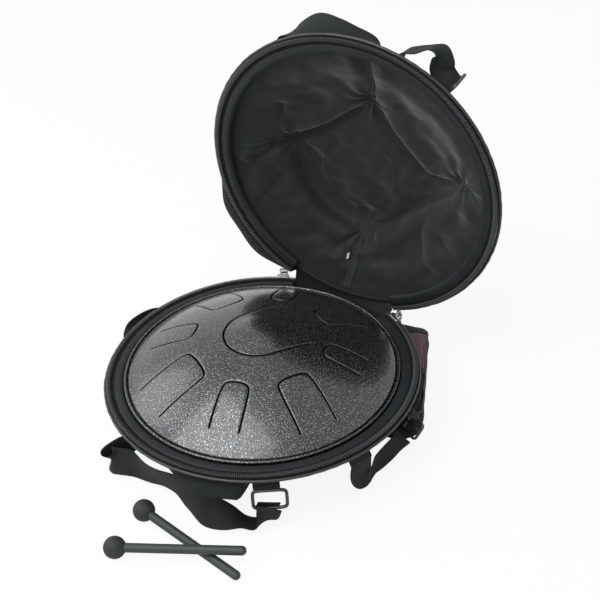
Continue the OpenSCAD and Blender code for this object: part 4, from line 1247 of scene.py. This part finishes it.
stem_r = np.concatenate([[0], handle_r - handle_waist * taper * (1 - taper),
                         handle_r * np.sin(end[1:])])
for number, share, lean, turn in (("one", mallet_one_share, -mallet_rise, mallet_one_turn),
                                  ("two", mallet_two_share, mallet_dip, mallet_two_turn)):
    stand = [share[0] * zip_r, share[1] * zip_r, head_r]
    ball, stem = [turned(turned_about_x(x, r), 0, lean, turn) + stand
                  for x, r in ((ball_x, ball_r), (stem_x, stem_r))]
    fit(surface(f"mallet_{number}_rubber_ball", rolled(ball)), ball_rubber, f"mallet_{number}",
        "mallet_rubber", f"mallet_{number}_head")
    fit(surface(f"mallet_{number}_stem", rolled(stem)), handle_plastic, f"mallet_{number}",
        "mallet_plastic", f"mallet_{number}_handle")


# Studio
# A white floor and a white surround, a broad light over the front and two faint ones at the
# sides, as in a product photograph on white.
floor_half, floor_glow = 3.0, 0.9
surround_light = 0.3
pure_white = (1, 1, 1, 1)
floor_white, floor_tree = blank_material("white_studio_floor")
floor_tone = ramp(floor_tree, noise(floor_tree, 2.0), [(0.0, "#fafafa"), (1.0, "#ffffff")])
paper = add(floor_tree, "ShaderNodeBsdfPrincipled", {"Base Color": floor_tone, "Roughness": 0.9,
            "Specular IOR Level": 0.1})
glow = add(floor_tree, "ShaderNodeEmission", {"Color": pure_white, "Strength": 1.0})
camera_sees = add(floor_tree, "ShaderNodeLightPath").outputs["Is Camera Ray"]
lit = add(floor_tree, "ShaderNodeMixShader", {0: maths(floor_tree, "MULTIPLY", camera_sees,
          floor_glow), 1: paper.outputs[0], 2: glow.outputs[0]})
add(floor_tree, "ShaderNodeOutputMaterial", {"Surface": lit.outputs[0]})
corners = np.array([[-1, -1, 0], [1, -1, 0], [1, 1, 0], [-1, 1, 0]]) * floor_half
floor_mesh = bpy.data.meshes.new("floor")
floor_mesh.from_pydata(corners.tolist(), [], [(0, 1, 2, 3)])
floor = linked("floor", floor_mesh)
floor_mesh.materials.append(floor_white)
floor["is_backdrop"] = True

world = bpy.data.worlds.new("studio")
bpy.context.scene.world = world
world.use_nodes = True
sky = world.node_tree
sky.nodes.clear()
seen = add(sky, "ShaderNodeLightPath").outputs
shown = maths(sky, "MAXIMUM", seen["Is Camera Ray"], seen["Is Glossy Ray"])
shown = maths(sky, "MAXIMUM", shown, seen["Is Transmission Ray"])
around = add(sky, "ShaderNodeBackground", {"Color": pure_white, "Strength": surround_light})
white = add(sky, "ShaderNodeBackground", {"Color": pure_white, "Strength": 1.0})
surround = add(sky, "ShaderNodeMixShader", {0: shown, 1: around.outputs[0], 2: white.outputs[0]})
add(sky, "ShaderNodeOutputWorld", {"Surface": surround.outputs[0]})


def area_light(name, place_m, aim_m, size_m, watts):
    """A square light that faces a point."""
    lamp = bpy.data.lights.new(name, "AREA")
    lamp.shape = "SQUARE"
    lamp.size = size_m
    lamp.energy = watts
    made = linked(name, lamp)
    made.location = place_m
    made.rotation_euler = (Vector(aim_m) - Vector(place_m)).to_track_quat("-Z", "Y").to_euler()


area_light("key", (-0.4, -1.3, 2.2), (0, 0, 0.1), size_m=2.2, watts=58)
area_light("side", (-1.9, -0.4, 1.3), (0, 0, 0.1), size_m=1.2, watts=10)
area_light("fill", (1.6, -1.4, 1.2), (0, 0, 0.15), size_m=1.2, watts=4)
bpy.context.scene.view_settings.view_transform = "Standard"

boxes = {"cad": cad_box, "visual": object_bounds()}
boxes = {key: [[float(v) for v in corner] for corner in box] for key, box in boxes.items()}
